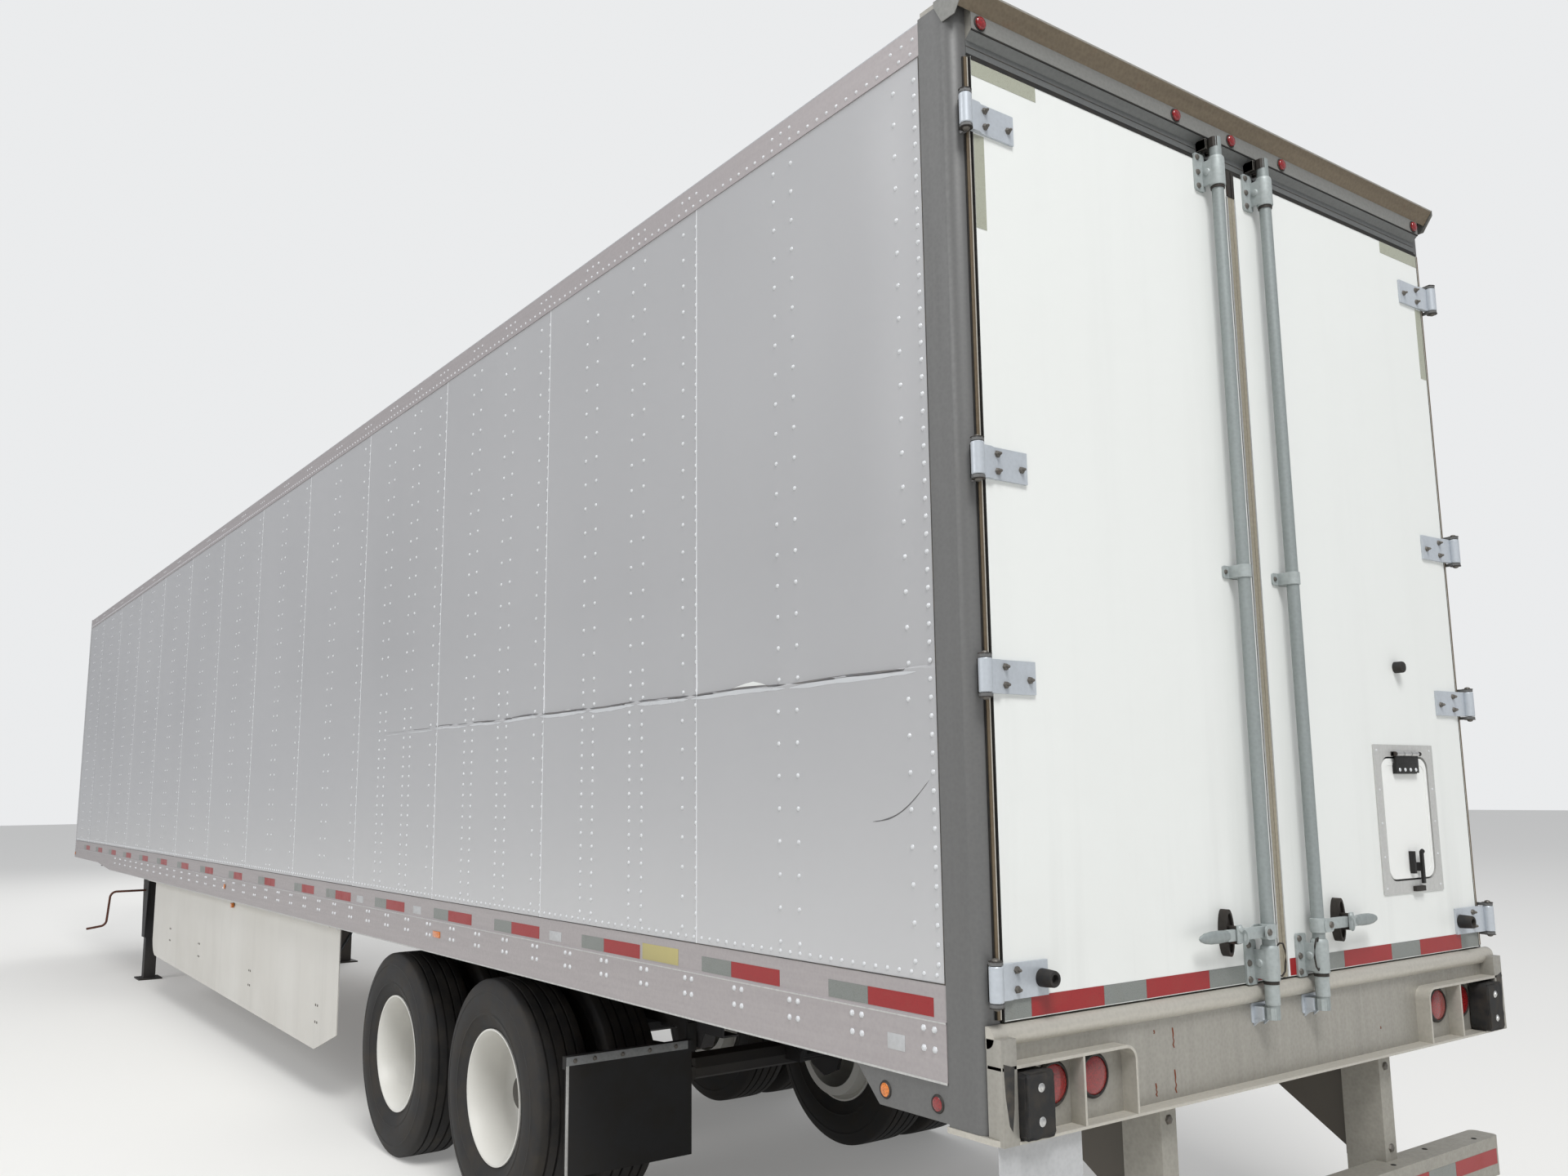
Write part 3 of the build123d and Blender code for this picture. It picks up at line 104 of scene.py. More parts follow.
class Graph:
    """A material's nodes, wired by short calls."""

    def __init__(self, name):
        self.material = bpy.data.materials.new(name)
        self.material.use_nodes = True
        self.tree = self.material.node_tree
        self.shader = self.tree.nodes["Principled BSDF"]
        self.place = self.add("TexCoord").outputs["Object"]

    def add(self, kind, settings=None, **inputs):
        """A node with its settings, and its inputs wired or set."""
        node = self.tree.nodes.new("ShaderNode" + kind)
        for key, value in (settings or {}).items():
            setattr(node, key, value)
        for name, value in inputs.items():
            self.feed(node.inputs[name], value)
        return node

    def feed(self, socket, value):
        """Wire an output, or set a constant."""
        if isinstance(value, bpy.types.NodeSocket):
            self.tree.links.new(value, socket)
        else:
            socket.default_value = (*value, 1.0) if socket.type == "RGBA" else value

    def noise(self, scale, detail=5.0, rough=0.55, stretch=(1, 1, 1)):
        place = self.add("Mapping", Vector=self.place, Scale=stretch).outputs["Vector"]
        return self.add("TexNoise", Vector=place, Scale=scale, Detail=detail, Roughness=rough).outputs["Fac"]

    def cells(self, scale, low, high, feature="F1"):
        """Small cells, as a clamped run of the distance in them."""
        node = self.add("TexVoronoi", {"feature": feature}, Vector=self.place, Scale=scale)
        return self.ramp(node.outputs["Distance"], low, high)

    def math(self, kind, a, b):
        node = self.add("Math", {"operation": kind})
        self.feed(node.inputs[0], a)
        self.feed(node.inputs[1], b)
        return node.outputs[0]

    def times(self, a, b):
        return self.math("MULTIPLY", a, b)

    def plus(self, a, b):
        return self.math("ADD", a, b)

    def ramp(self, value, low, high, to_low=0.0, to_high=1.0):
        """A clamped run of value from low to high."""
        node = self.add("MapRange")
        for socket, part in zip(node.inputs, (value, low, high, to_low, to_high)):
            self.feed(socket, part)
        return node.outputs["Result"]

    def mix(self, share, a, b):
        """Colour a passing into colour b."""
        node = self.add("Mix", {"data_type": "RGBA"}, Factor=share)
        self.feed(node.inputs[6], a)
        self.feed(node.inputs[7], b)
        return node.outputs[2]

    def height(self):
        """Height over the road."""
        return self.plus(self.add("SeparateXYZ", Vector=self.place).outputs["Z"], -ROAD_Z)

    def bump(self, value, strength, distance=0.001):
        node = self.add("Bump", Strength=strength, Distance=distance, Height=value)
        self.feed(self.shader.inputs["Normal"], node.outputs["Normal"])

    def finish(self, colour, rough, metallic=0.0):
        for name, value in (("Base Color", colour), ("Roughness", rough), ("Metallic", metallic)):
            self.feed(self.shader.inputs[name], value)
        return self.material


def linear(red, green, blue):
    """A colour seen in the photograph, from 0 to 255, as the shader wants it."""
    parts = []
    for value in (red, green, blue):
        share = value / 255
        parts.append(share / 12.92 if share <= 0.04045 else ((share + 0.055) / 1.055) ** 2.4)
    return tuple(parts)


DUST = linear(126, 114, 96)
RUST = linear(112, 60, 34)
SOOT = linear(52, 48, 44)


def painted(name, colour, dirt=0.25, streaks=0.25, rough=0.42, low=1.0, high=1.9, grain=0.04, shine=0.0):
    """Paint on sheet: faint mottling, vertical streaks and road dirt that thins out with height."""
    g = Graph(name)
    cloud = g.ramp(g.noise(1.3, 6), 0.35, 0.75)
    streak = g.ramp(g.noise(7, 4, 0.6, (1, 1, 0.06)), 0.52, 0.78)
    speck = g.ramp(g.noise(90, 3, 0.7), 0.62, 0.78)
    reach = g.ramp(g.height(), low, high, 1.0, 0.25)
    dirty = g.times(g.plus(g.times(cloud, 0.6), g.times(speck, 0.35)), reach)
    base = g.mix(g.times(dirty, dirt), colour, DUST)
    base = g.mix(g.times(streak, g.times(reach, streaks)), base, SOOT)
    g.bump(g.noise(55, 3), grain)
    return g.finish(base, g.ramp(cloud, 0, 1, rough, rough + 0.16), shine)


def shaded(colour, share):
    return tuple(part * share for part in colour)


def sheet(name, colour):
    """Thin glossy sheet, faintly clouded, and lighter towards its foot as a painted reflection of the ground."""
    g = Graph(name)
    cloud = g.ramp(g.noise(0.6, 2, 0.4), 0.25, 0.75)
    # Painted reflection: the colour is raised towards the sheet's foot, as if it mirrored a bright ground.
    low = g.ramp(g.height(), 1.2, 2.6, 1.0, 0.0)
    g.bump(g.noise(2.2, 2, 0.4), 0.25, 0.004)
    return g.finish(g.mix(low, g.mix(cloud, shaded(colour, 0.9), colour), shaded(colour, 1.12)), 0.26, 0.25)


def metal(name, colour, rough=0.38, metallic=0.85, rust=0.15, grain=(1, 1, 0.05), grain_scale=60, depth=0.22):
    """Bare or galvanised metal with its grain, spangle and some rust."""
    g = Graph(name)
    fine = g.noise(grain_scale, 4, 0.6, grain)
    shade = g.ramp(g.plus(g.times(fine, 0.7), g.times(g.cells(85, 0.0, 0.9), 0.3)), 0.25, 0.75)
    spots = g.ramp(g.noise(16, 6, 0.65), 0.6, 0.74)
    base = g.mix(g.times(spots, rust), g.mix(shade, shaded(colour, 1 - depth), colour), RUST)
    g.bump(fine, 0.06)
    return g.finish(base, g.ramp(shade, 0, 1, rough + 0.14, rough), metallic)


def rubber(name, colour, dust=0.4, rough=0.78, scale=26):
    """Moulded rubber with dust in its hollows."""
    g = Graph(name)
    cover = g.ramp(g.noise(scale, 6, 0.65), 0.42, 0.72)
    g.bump(g.noise(160, 4), 0.1)
    return g.finish(g.mix(g.times(cover, dust), colour, DUST), g.ramp(cover, 0, 1, rough - 0.1, rough + 0.12))


def lens(name, colour):
    """Moulded lens with fine prisms under a clear face."""
    g = Graph(name)
    prisms = g.cells(190, 0.1, 0.8)
    g.bump(prisms, 0.25)
    g.shader.inputs["Coat Weight"].default_value = 0.6
    return g.finish(g.mix(prisms, shaded(colour, 0.45), colour), 0.22)


def timber(name, colour):
    """Laminated floor boards, worn and scuffed."""
    g = Graph(name)
    grain = g.ramp(g.noise(9, 7, 0.6, (0.06, 1, 1)), 0.3, 0.7)
    boards = g.ramp(g.noise(3.2, 1, 0.5, (0.01, 9, 1)), 0.35, 0.65)
    base = g.mix(grain, linear(112, 78, 48), colour)
    base = g.mix(g.times(boards, 0.4), base, linear(96, 66, 42))
    g.bump(grain, 0.15)
    return g.finish(base, g.ramp(grain, 0, 1, 0.72, 0.5))


def tape(name, colour):
    """Retroreflective tape with its honeycomb cells."""
    g = Graph(name)
    comb = g.cells(210, 0.02, 0.12, "DISTANCE_TO_EDGE")
    worn = g.ramp(g.noise(11, 6, 0.65), 0.5, 0.8)
    base = g.mix(g.times(worn, 0.12), g.mix(comb, shaded(colour, 0.8), colour), DUST)
    g.bump(comb, 0.08)
    return g.finish(base, g.ramp(worn, 0, 1, 0.32, 0.55))


EVEN = (1, 1, 1)
LENGTHWISE = (0.05, 1, 1)
CROSSWISE = (1, 0.05, 1)
LOOKS = {name: maker(name, linear(*colour), *rest) for maker, name, colour, *rest in (
    (sheet, "wall_sheet", (180, 180, 181)),
    (metal, "rail_paint", (168, 162, 162), 0.36, 0.35, 0.02, LENGTHWISE, 60, 0.1),
    (metal, "roof_sheet", (188, 191, 194), 0.42, 0.7, 0.03, LENGTHWISE, 30),
    (timber, "floor_wood", (160, 122, 82)),
    (painted, "chassis_paint", (34, 34, 36), 0.42, 0.0, 0.62, 0.2, 1.1),
    (metal, "spring_steel", (58, 50, 44), 0.62, 0.35, 0.55),
    (metal, "rear_frame", (162, 159, 151), 0.42, 0.45, 0.03, (1, 1, 0.04), 35, 0.16),
    (painted, "door_skin", (222, 224, 221), 0.16, 0.1, 0.34, 1.2, 2.2),
    (metal, "hardware_zinc", (140, 147, 154), 0.44, 0.7, 0.08, EVEN, 40),
    (metal, "vent_frame", (194, 194, 191), 0.42, 0.3, 0.02, (1, 1, 0.05), 60, 0.12),
    (rubber, "stop_rubber", (22, 22, 23), 0.14),
    (rubber, "flap_rubber", (13, 13, 14), 0.05, 0.8, 6),
    (rubber, "tyre_rubber", (24, 23, 23), 0.12, 0.8, 9),
    (painted, "wheel_paint", (214, 213, 207), 0.3, 0.15, 0.42, 0.0, 1.2, 0.02),
    (metal, "guard_paint", (132, 134, 134), 0.52, 0.45, 0.22, EVEN, 30),
    (lens, "red_lens", (140, 12, 16)),
    (lens, "amber_lens", (222, 122, 26)),
    (metal, "plate_blank", (186, 187, 188), 0.4, 0.3, 0.03, EVEN, 50, 0.12),
    (metal, "coupling_metal", (150, 152, 154), 0.45, 0.8, 0.06, EVEN, 50),
    (painted, "skirt_panel", (206, 204, 198), 0.3, 0.08, 0.5, 0.3, 1.2, 0.02),
    (metal, "crank_steel", (92, 54, 40), 0.66, 0.3, 0.7, EVEN, 60),
    (metal, "kingpin_steel", (96, 94, 90), 0.36, 0.9, 0.12),
    (painted, "tank_paint", (36, 36, 39), 0.4, 0.0, 0.5, 0.3, 1.2),
    # Of scene.py alone: tape, trim and heads
    (tape, "red_tape", (146, 18, 22)),
    (tape, "white_tape", (122, 126, 122)),
    (tape, "silver_tape", (162, 164, 148)),
    (rubber, "sealant", (46, 45, 44), 0.35, 0.7),
    (metal, "rivet_head", (214, 216, 218), 0.3, 0.15, 0.02, EVEN, 120),
    (metal, "door_trim", (118, 104, 84), 0.42, 0.6, 0.12),
    (painted, "blank_label", (172, 162, 108), 0.3, 0.1, 0.5),
    (metal, "bright_edge", (206, 206, 204), 0.3, 0.85, 0.02),
    (metal, "rust_mark", (120, 62, 36), 0.75, 0.15, 0.8, EVEN, 60),
    (rubber, "shadow_gap", (14, 14, 14), 0.1, 0.9),
    (rubber, "scrape_mark", (88, 88, 90), 0.3, 0.7),
    (painted, "crease_light", (200, 202, 204), 0.0, 0.0, 0.24, 1.0, 1.9, 0.01, 0.2),
    (painted, "seam_edge", (222, 224, 226), 0.05, 0.0, 0.3),
    # Hubs
    (painted, "hub_cap", (38, 37, 36), 0.5, 0.0, 0.5, 0.2, 1.2),
    (painted, "hub_rust", (150, 122, 96), 0.9, 0.0, 0.6, 0.6, 1.2),
    (metal, "hub_steel", (104, 82, 66), 0.6, 0.4, 0.75, EVEN, 90),
    # Doors and vent
    (metal, "hinge_zinc", (188, 194, 200), 0.36, 0.3, 0.02, EVEN, 30, 0.1),
    (metal, "rod_zinc", (146, 153, 152), 0.46, 0.3, 0.02, (1, 1, 0.1), 40, 0.16),
    (metal, "cast_zinc", (168, 175, 174), 0.5, 0.25, 0.03, EVEN, 45, 0.18),
    (metal, "dark_iron", (58, 54, 50), 0.55, 0.45, 0.35, EVEN, 50),
    (metal, "bolt_steel", (108, 104, 98), 0.45, 0.6, 0.25, EVEN, 90),
    (metal, "edge_strip", (168, 160, 142), 0.4, 0.5, 0.12, (1, 1, 0.05), 40),
    (painted, "lid_paint", (228, 229, 226), 0.15, 0.06, 0.36, 1.2, 2.2),
    (metal, "lever_black", (36, 35, 34), 0.45, 0.3, 0.12, EVEN, 60),
    # Rear frame
    (metal, "frame_cream", (188, 184, 174), 0.4, 0.35, 0.05, CROSSWISE, 40, 0.14),
    (metal, "post_steel", (110, 110, 109), 0.44, 0.45, 0.02, (1, 1, 0.04), 30, 0.1),
    (metal, "dirty_soffit", (124, 112, 94), 0.6, 0.25, 0.25, CROSSWISE, 30, 0.3),
    (metal, "header_band", (136, 136, 132), 0.45, 0.4, 0.05, CROSSWISE, 40, 0.16),
    (metal, "header_foot", (112, 114, 113), 0.45, 0.4, 0.05, CROSSWISE, 40, 0.16),
    (rubber, "lamp_grommet", (24, 24, 25), 0.25, 0.7, 60),
    (metal, "guard_steel", (160, 157, 148), 0.5, 0.4, 0.06, EVEN, 30, 0.16),
    (painted, "gusset_dark", (84, 79, 71), 0.3, 0.2, 0.6, 0.2, 1.1),
)}

for entry in frame["record"]["subparts"]:
    node = frame["nodes"][entry["node"]]
    node.data.materials.clear()
    node.data.materials.append(LOOKS[entry["material_slot"]])


# Shapes, each as points and faces

def on_axis(axis, along, a, b):
    """A point along an axis, with its two other values in order."""
    return {"x": (along, a, b), "y": (a, along, b), "z": (a, b, along)}[axis]


def taken(bm):
    """The points and faces of a bmesh, which is freed."""
    bm.verts.index_update()
    points = [tuple(vertex.co) for vertex in bm.verts]
    faces = [[vertex.index for vertex in face.verts] for face in bm.faces]
    bm.free()
    return points, faces


def brick(start, end, soft=0.0):
    """A block between two opposite corners, its edges rounded by soft."""
    bm = bmesh.new()
    bmesh.ops.create_cube(bm, size=1.0)
    for vertex in bm.verts:
        vertex.co = [(a + b) / 2 + part * abs(b - a) for a, b, part in zip(start, end, vertex.co)]
    if soft:
        bmesh.ops.bevel(bm, geom=bm.edges[:], offset=soft, segments=2, profile=0.6, affect="EDGES")
    return taken(bm)


def lathe(profile, centre, axis, steps=32):
    """A profile of (radius, along) points turned about an axis of the trailer."""
    points = []
    for step in range(steps):
        angle = tau * step / steps
        for radius, along in profile:
            local = on_axis(axis, along, radius * cos(angle), radius * sin(angle))
            points.append(tuple(a + b for a, b in zip(centre, local)))
    rows = len(profile)
    faces = []
    for near in range(0, len(points), rows):
        far = (near + rows) % len(points)
        faces += [[near + row, near + row + 1, far + row + 1, far + row] for row in range(rows - 1)]
    return points, faces


def hoop(centre, turn, radius, lift, sides):
    """A turned ring of points round a centre."""
    angles = [tau * side / sides for side in range(sides)]
    return [tuple(centre + turn @ Vector((radius * cos(angle), radius * sin(angle), lift))) for angle in angles]


def bands(rings, sides):
    """Faces between rings of points that follow one another."""
    faces = []
    for start in range(0, (rings - 1) * sides, sides):
        for side in range(sides):
            a = start + side
            b = start + (side + 1) % sides
            faces.append([a, b, b + sides, a + sides])
    return faces


def pipe(route, radius, sides=10):
    """A round bar along a route, closed at both ends."""
    route = [Vector(point) for point in route]
    points = []
    for index, point in enumerate(route):
        run = route[min(index + 1, len(route) - 1)] - route[max(index - 1, 0)]
        points += hoop(point, run.normalized().to_track_quat("Z", "Y").to_matrix(), radius, 0, sides)
    ends = [list(range(sides)), list(range(len(points) - sides, len(points)))]
    return points, bands(len(route), sides) + ends


def dome(centre, normal, radius, rise, sides=6):
    """A rivet or bolt head: a low dome on a surface."""
    turn = Vector(normal).to_track_quat("Z", "Y").to_matrix()
    rings = ((radius, 0.0), (radius * 0.78, rise * 0.7), (radius * 0.3, rise))
    points = []
    for reach, lift in rings:
        points += hoop(Vector(centre), turn, reach, lift, sides)
    return points, bands(len(rings), sides) + [list(range(len(points) - sides, len(points)))]


def hexagon(centre, normal, across, thick):
    """A nut or bolt head with its six flats."""
    return dome(centre, normal, across / 2 / cos(pi / 6), thick)


class Piece:
    """Shapes gathered into one object, each with its look."""

    def __init__(self, name):
        self.name = name
        self.points = []
        self.faces = []
        self.marks = []
        self.looks = []

    def add(self, shape, look):
        points, faces = shape
        first = len(self.points)
        if look not in self.looks:
            self.looks.append(look)
        self.points += points
        self.faces += [[first + index for index in face] for face in faces]
        self.marks += [self.looks.index(look)] * len(faces)

    def bricks(self, look, *rows):
        """Blocks of one look, each row as brick takes it."""
        for row in rows:
            self.add(brick(*row), look)

    def build(self, body, smooth=35, side=1, replaces=()):
        """Make the object, in the frame, on its body. Side -1 mirrors it to the right."""
        mesh = bpy.data.meshes.new(self.name)
        mesh.from_pydata([at(x, side * y, z) for x, y, z in self.points], [], self.faces)
        for look in self.looks:
            mesh.materials.append(LOOKS[look])
        mesh.polygons.foreach_set("material_index", self.marks)
        bm = bmesh.new()
        bm.from_mesh(mesh)
        bmesh.ops.recalc_face_normals(bm, faces=bm.faces)
        bm.to_mesh(mesh)
        bm.free()
        mesh.shade_smooth()
        mesh.set_sharp_from_angle(angle=radians(smooth))
        made = bpy.data.objects.new(self.name, mesh)
        bpy.context.scene.collection.objects.link(made)
        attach(made, body)
        if replaces:
            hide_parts(*replaces)


SIDES = (("left", 1), ("right", -1))
BACK = (-1, 0, 0)
OUT = (0, 1, 0)
AHEAD = (1, 0, 0)


# Camera, floor and light

def place_camera():
    """The camera of the photograph."""
    data = bpy.data.cameras.new("camera")
    data.lens = CAMERA_LENS
    data.sensor_width = 36
    data.sensor_fit = "HORIZONTAL"
    data.clip_start = 0.05
    data.clip_end = 500
    level = cos(CAMERA_PITCH)
    ahead = Vector((level * cos(CAMERA_YAW), level * sin(CAMERA_YAW), sin(CAMERA_PITCH)))
    right = Vector((sin(CAMERA_YAW), -cos(CAMERA_YAW), 0))
    up = right.cross(ahead)
    across = cos(CAMERA_ROLL) * right + sin(CAMERA_ROLL) * up
    over = -sin(CAMERA_ROLL) * right + cos(CAMERA_ROLL) * up
    camera = bpy.data.objects.new("camera", data)
    turn = Matrix((across, over, -ahead)).transposed()
    camera.matrix_world = Matrix.Translation(CAMERA) @ turn.to_4x4()
    bpy.context.scene.collection.objects.link(camera)
    bpy.context.scene.camera = camera


def backdrop_material():
    """Pale floor that stays pale to the camera and in reflections."""
    g = Graph("studio_floor")
    g.bump(g.noise(30, 2), 0.01)
    g.shader.inputs["Emission Color"].default_value = (0.8, 0.8, 0.79, 1.0)
    g.shader.inputs["Emission Strength"].default_value = 0.24
    return g.finish(linear(214, 213, 209), 0.9)


def lay_floor():
    mesh = bpy.data.meshes.new("floor")
    half = 90
    corners = [(half * a, half * b, ROAD_Z) for a, b in ((-1, -1), (1, -1), (1, 1), (-1, 1))]
    mesh.from_pydata(corners, [], [(0, 1, 2, 3)])
    mesh.materials.append(backdrop_material())
    floor = bpy.data.objects.new("floor", mesh)
    bpy.context.scene.collection.objects.link(floor)


def light(name, place, aim, power, size):
    data = bpy.data.lights.new(name, "AREA")
    data.energy = power
    data.size = size
    lamp = bpy.data.objects.new(name, data)
    lamp.location = place
    lamp.rotation_euler = (Vector(aim) - Vector(place)).to_track_quat("-Z", "Y").to_euler()
    bpy.context.scene.collection.objects.link(lamp)


def light_stage():
    world = bpy.data.worlds.new("studio")
    world.use_nodes = True
    tree = world.node_tree
    soft = tree.nodes["Background"]
    soft.inputs[0].default_value = (0.93, 0.95, 1.0, 1.0)
    soft.inputs[1].default_value = 0.5
    white = tree.nodes.new("ShaderNodeBackground")
    white.inputs[0].default_value = (0.9, 0.91, 0.92, 1.0)
    white.inputs[1].default_value = 0.92
    rays = tree.nodes.new("ShaderNodeLightPath")
    share = tree.nodes.new("ShaderNodeMixShader")
    tree.links.new(rays.outputs["Is Camera Ray"], share.inputs[0])
    tree.links.new(soft.outputs[0], share.inputs[1])
    tree.links.new(white.outputs[0], share.inputs[2])
    tree.links.new(share.outputs[0], tree.nodes["World Output"].inputs["Surface"])
    bpy.context.scene.world = world
    light("key", (-25, 6, 17), (-13, 0, 1.6), 3400, 7)
    light("side_fill", (-6, 20, 11), (-7, 0, 1.4), 1500, 12)
    light("front_fill", (11, -9, 10), (-3, 0, 1), 1100, 10)
    bpy.context.scene.view_settings.view_transform = "Standard"


place_camera()
lay_floor()
light_stage()

# Side walls: thin sheets on posts, lapped at each seam and dented at the rear left

SEAM_FIRST = 1.44
SEAM_PITCH = 1.2335
SEAMS = [SEAM_FIRST + SEAM_PITCH * index for index in range(12)]
POST_HALF = 0.047
POSTS_FIRST = (0.273, 0.897)
CLOSE_POSTS = (0.433, 0.825)
WIDE_POSTS = (0.617,)
CLOSE_PANELS = 3
SKIN_LOW = RAIL_TOP + 0.0003
SKIN_HIGH = TOP_RAIL_LOW - 0.0003
LAP = 0.0013
CREASE_Z = 2.17
CREASE_START = 0.24
CREASE_FADE = 2.68
CREASE_END = 4.7
CREASE_DEPTH = 0.0062
DENT = (2.42, 2.86, 0.16)


def posts():
    """Where each post stands behind the sheets."""
    found = list(POSTS_FIRST)
    for index, seam in enumerate(SEAMS):
        offsets = CLOSE_POSTS if index < CLOSE_PANELS else WIDE_POSTS
        found.append(seam + POST_HALF)
        found += [seam + offset for offset in offsets]
    return found


POSTS = posts()


def crease_share(x):
    """How deep the crease is at x, from 0 to 1, with the posts holding the sheet back."""
    if not CREASE_START < x < CREASE_END:
        return 0.0
    fade = min(1.0, (CREASE_END - x) / (CREASE_END - CREASE_FADE))
    near = min(abs(x - post) for post in POSTS)
    return fade * (0.45 + 0.55 * min(1.0, near / 0.12))


def crease_line(x):
    """Height of the crease at x."""
    return CREASE_Z + 0.008 * noise.noise(Vector((x * 3, 0, 2)))


def skin_offset(x, z, dented):
    """How far the sheet stands out from its plane."""
    near = min(abs(x - post) for post in POSTS)
    free = min(1.0, near / 0.2) * min(1.0, (z - SKIN_LOW) / 0.15) * min(1.0, (SKIN_HIGH - z) / 0.15)
    after = [seam for seam in SEAMS if seam > x]
    reach = (after[0] - x) / SEAM_PITCH if after else 0.5
    offset = LAP * (1 - min(1.0, reach)) - LAP
    offset += free * 0.0022 * noise.noise(Vector((x * 1.9, z * 1.3, 4.0)))
    if dented:
        rear = max(0.0, 1 - x / 4.5)
        offset += free * 0.0055 * rear * noise.noise(Vector((x * 1.6, z * 1.1, 9.0)))
        gap = z - crease_line(x)
        side, width = (-1.0, 0.11) if gap > 0 else (0.45, 0.07)
        offset += crease_share(x) * CREASE_DEPTH * side * FALL ** (-abs(gap) / width)
        away = ((x - DENT[0]) ** 2 + (z - DENT[1]) ** 2) / DENT[2] ** 2
        offset -= 0.002 * FALL ** (-away)
    return min(offset, 0.0025)


def spread(low, high, step):
    count = max(1, round((high - low) / step))
    return [low + (high - low) * index / count for index in range(count)]


# Heights of the sheet's rows, as runs of (start, end, step), fine at the crease
SKIN_ROWS = (
    (SKIN_LOW, 2.02, 0.06), (2.02, 2.14, 0.02), (2.14, 2.2, 0.005), (2.2, 2.36, 0.02), (2.36, SKIN_HIGH, 0.065),
)
FINE_END = 5.2
SKIN_BACK = SHEET_Y - 0.0075
CORE_FACE = SHEET_Y - 0.0103


def wall_skin(side_name, side):
    """One side's lapped sheets, with the wall's core behind them."""
    columns = spread(WALL_REAR, FINE_END, 0.045) + spread(FINE_END, WALL_FRONT, 0.1) + [WALL_FRONT]
    for seam in SEAMS:
        columns = [x for x in columns if abs(x - seam) > 0.012] + [seam - 0.0008, seam + 0.0008]
    columns.sort()
    rows = [z for run in SKIN_ROWS for z in spread(*run)] + [SKIN_HIGH]
    points = [(x, SHEET_Y + skin_offset(x, z, side > 0), z) for x in columns for z in rows]
    high = len(rows)
    base = len(points)
    faces = [[i, i + 1, i + high + 1, i + high] for i in range(base - high) if (i + 1) % high]
    rim = list(range(0, base, high)) + list(range(base - high + 1, base))
    rim += list(range(base - high - 1, 0, -high)) + list(range(high - 2, 0, -1))
    points += [(points[index][0], SKIN_BACK, points[index][2]) for index in rim]
    for index in range(len(rim)):
        after = (index + 1) % len(rim)
        faces.append([rim[index], rim[after], base + after, base + index])
    piece = Piece(f"wall_{side_name}")
    piece.add((points, faces), "wall_sheet")
    piece.bricks(
        "door_skin",
        ((WALL_REAR, SHEET_Y - WALL, FLOOR_TOP + 0.0003), (WALL_FRONT, CORE_FACE, 4.0917)),
        ((WALL_REAR, CORE_FACE, SKIN_LOW), (WALL_FRONT, SKIN_BACK + 0.0002, SKIN_HIGH)))
    piece.build("trailer", 28, side, (f"side_wall_{side_name}",))


TOP_RAIL_FACE = 1.293
RIVET_PITCH = 0.051
WIDE_PITCH = 2 * RIVET_PITCH


def rivet_places():
    """Every rivet head on one side, as (x, y, z, radius)."""
    heads = []
    low = SKIN_LOW + 0.05

    def column(x, pitch, start=low, end=SKIN_HIGH - 0.05):
        count = int((end - start) / pitch)
        heads.extend((x, None, start + index * pitch, 0.008) for index in range(count + 1))

    column(0.227, RIVET_PITCH)
    for x in (0.32, POSTS_FIRST[1] - 0.05, POSTS_FIRST[1] + 0.05):
        column(x, WIDE_PITCH)
    for index, seam in enumerate(SEAMS):
        column(seam + 0.006, RIVET_PITCH)
        column(seam + 0.096, WIDE_PITCH)
        close = index < CLOSE_PANELS
        for offset in CLOSE_POSTS if close else WIDE_POSTS:
            for edge in (-POST_HALF, POST_HALF):
                column(seam + offset + edge, WIDE_PITCH)
                if close:
                    column(seam + offset + edge, WIDE_PITCH, low + RIVET_PITCH, 2.33)
    x = 0.235
    while x < WALL_FRONT - 0.02:
        heads.append((x, None, SKIN_LOW + 0.022, 0.0072))
        heads.append((x, TOP_RAIL_FACE, 4.006, 0.0062))
        x += RIVET_PITCH
    heads.extend((post + edge, TOP_RAIL_FACE, 4.048, 0.0062) for post in POSTS for edge in (-0.05, 0.0, 0.05))
    x = 0.243
    while x < 13.3:
        heads.extend((x + run, OUTER_Y, z, 0.01) for run in (0, 0.043) for z in (1.202, 1.151))
        x += 0.305
    return heads


def rivets(side_name, side):
    """The rivet heads of one side, and a painted highlight along each sheet's lapped edge."""
    piece = Piece(f"rivets_{side_name}")
    for x, y, z, radius in rivet_places():
        if y is None:
            y = SHEET_Y + skin_offset(x, z, side > 0) - 0.0002
        piece.add(dome((x, y, z), OUT, radius, radius * 0.55), "rivet_head")
    # Painted highlight: a bright strip on each seam's lapped edge.
    for seam in SEAMS:
        corners = (seam - 0.001, SHEET_Y - 0.003, SKIN_LOW), (seam + 0.0025, SHEET_Y + 0.0005, SKIN_HIGH)
        piece.bricks("seam_edge", corners)
    piece.build("trailer", 60, side)


def ribbon(route, width, lift):
    """A thin mark that lies on the left wall's sheet, as (x, z) points."""
    points = []
    for index, (x, z) in enumerate(route):
        share = sin(pi * index / (len(route) - 1)) ** 0.5
        half = width / 2 * max(0.15, share) * chance(index, 0.6, 1.1)
        points += [(x, SHEET_Y + skin_offset(x, z + edge, True) + lift, z + edge) for edge in (-half, half)]
    return points, [[a, a + 1, a + 3, a + 2] for a in range(0, len(points) - 2, 2)]


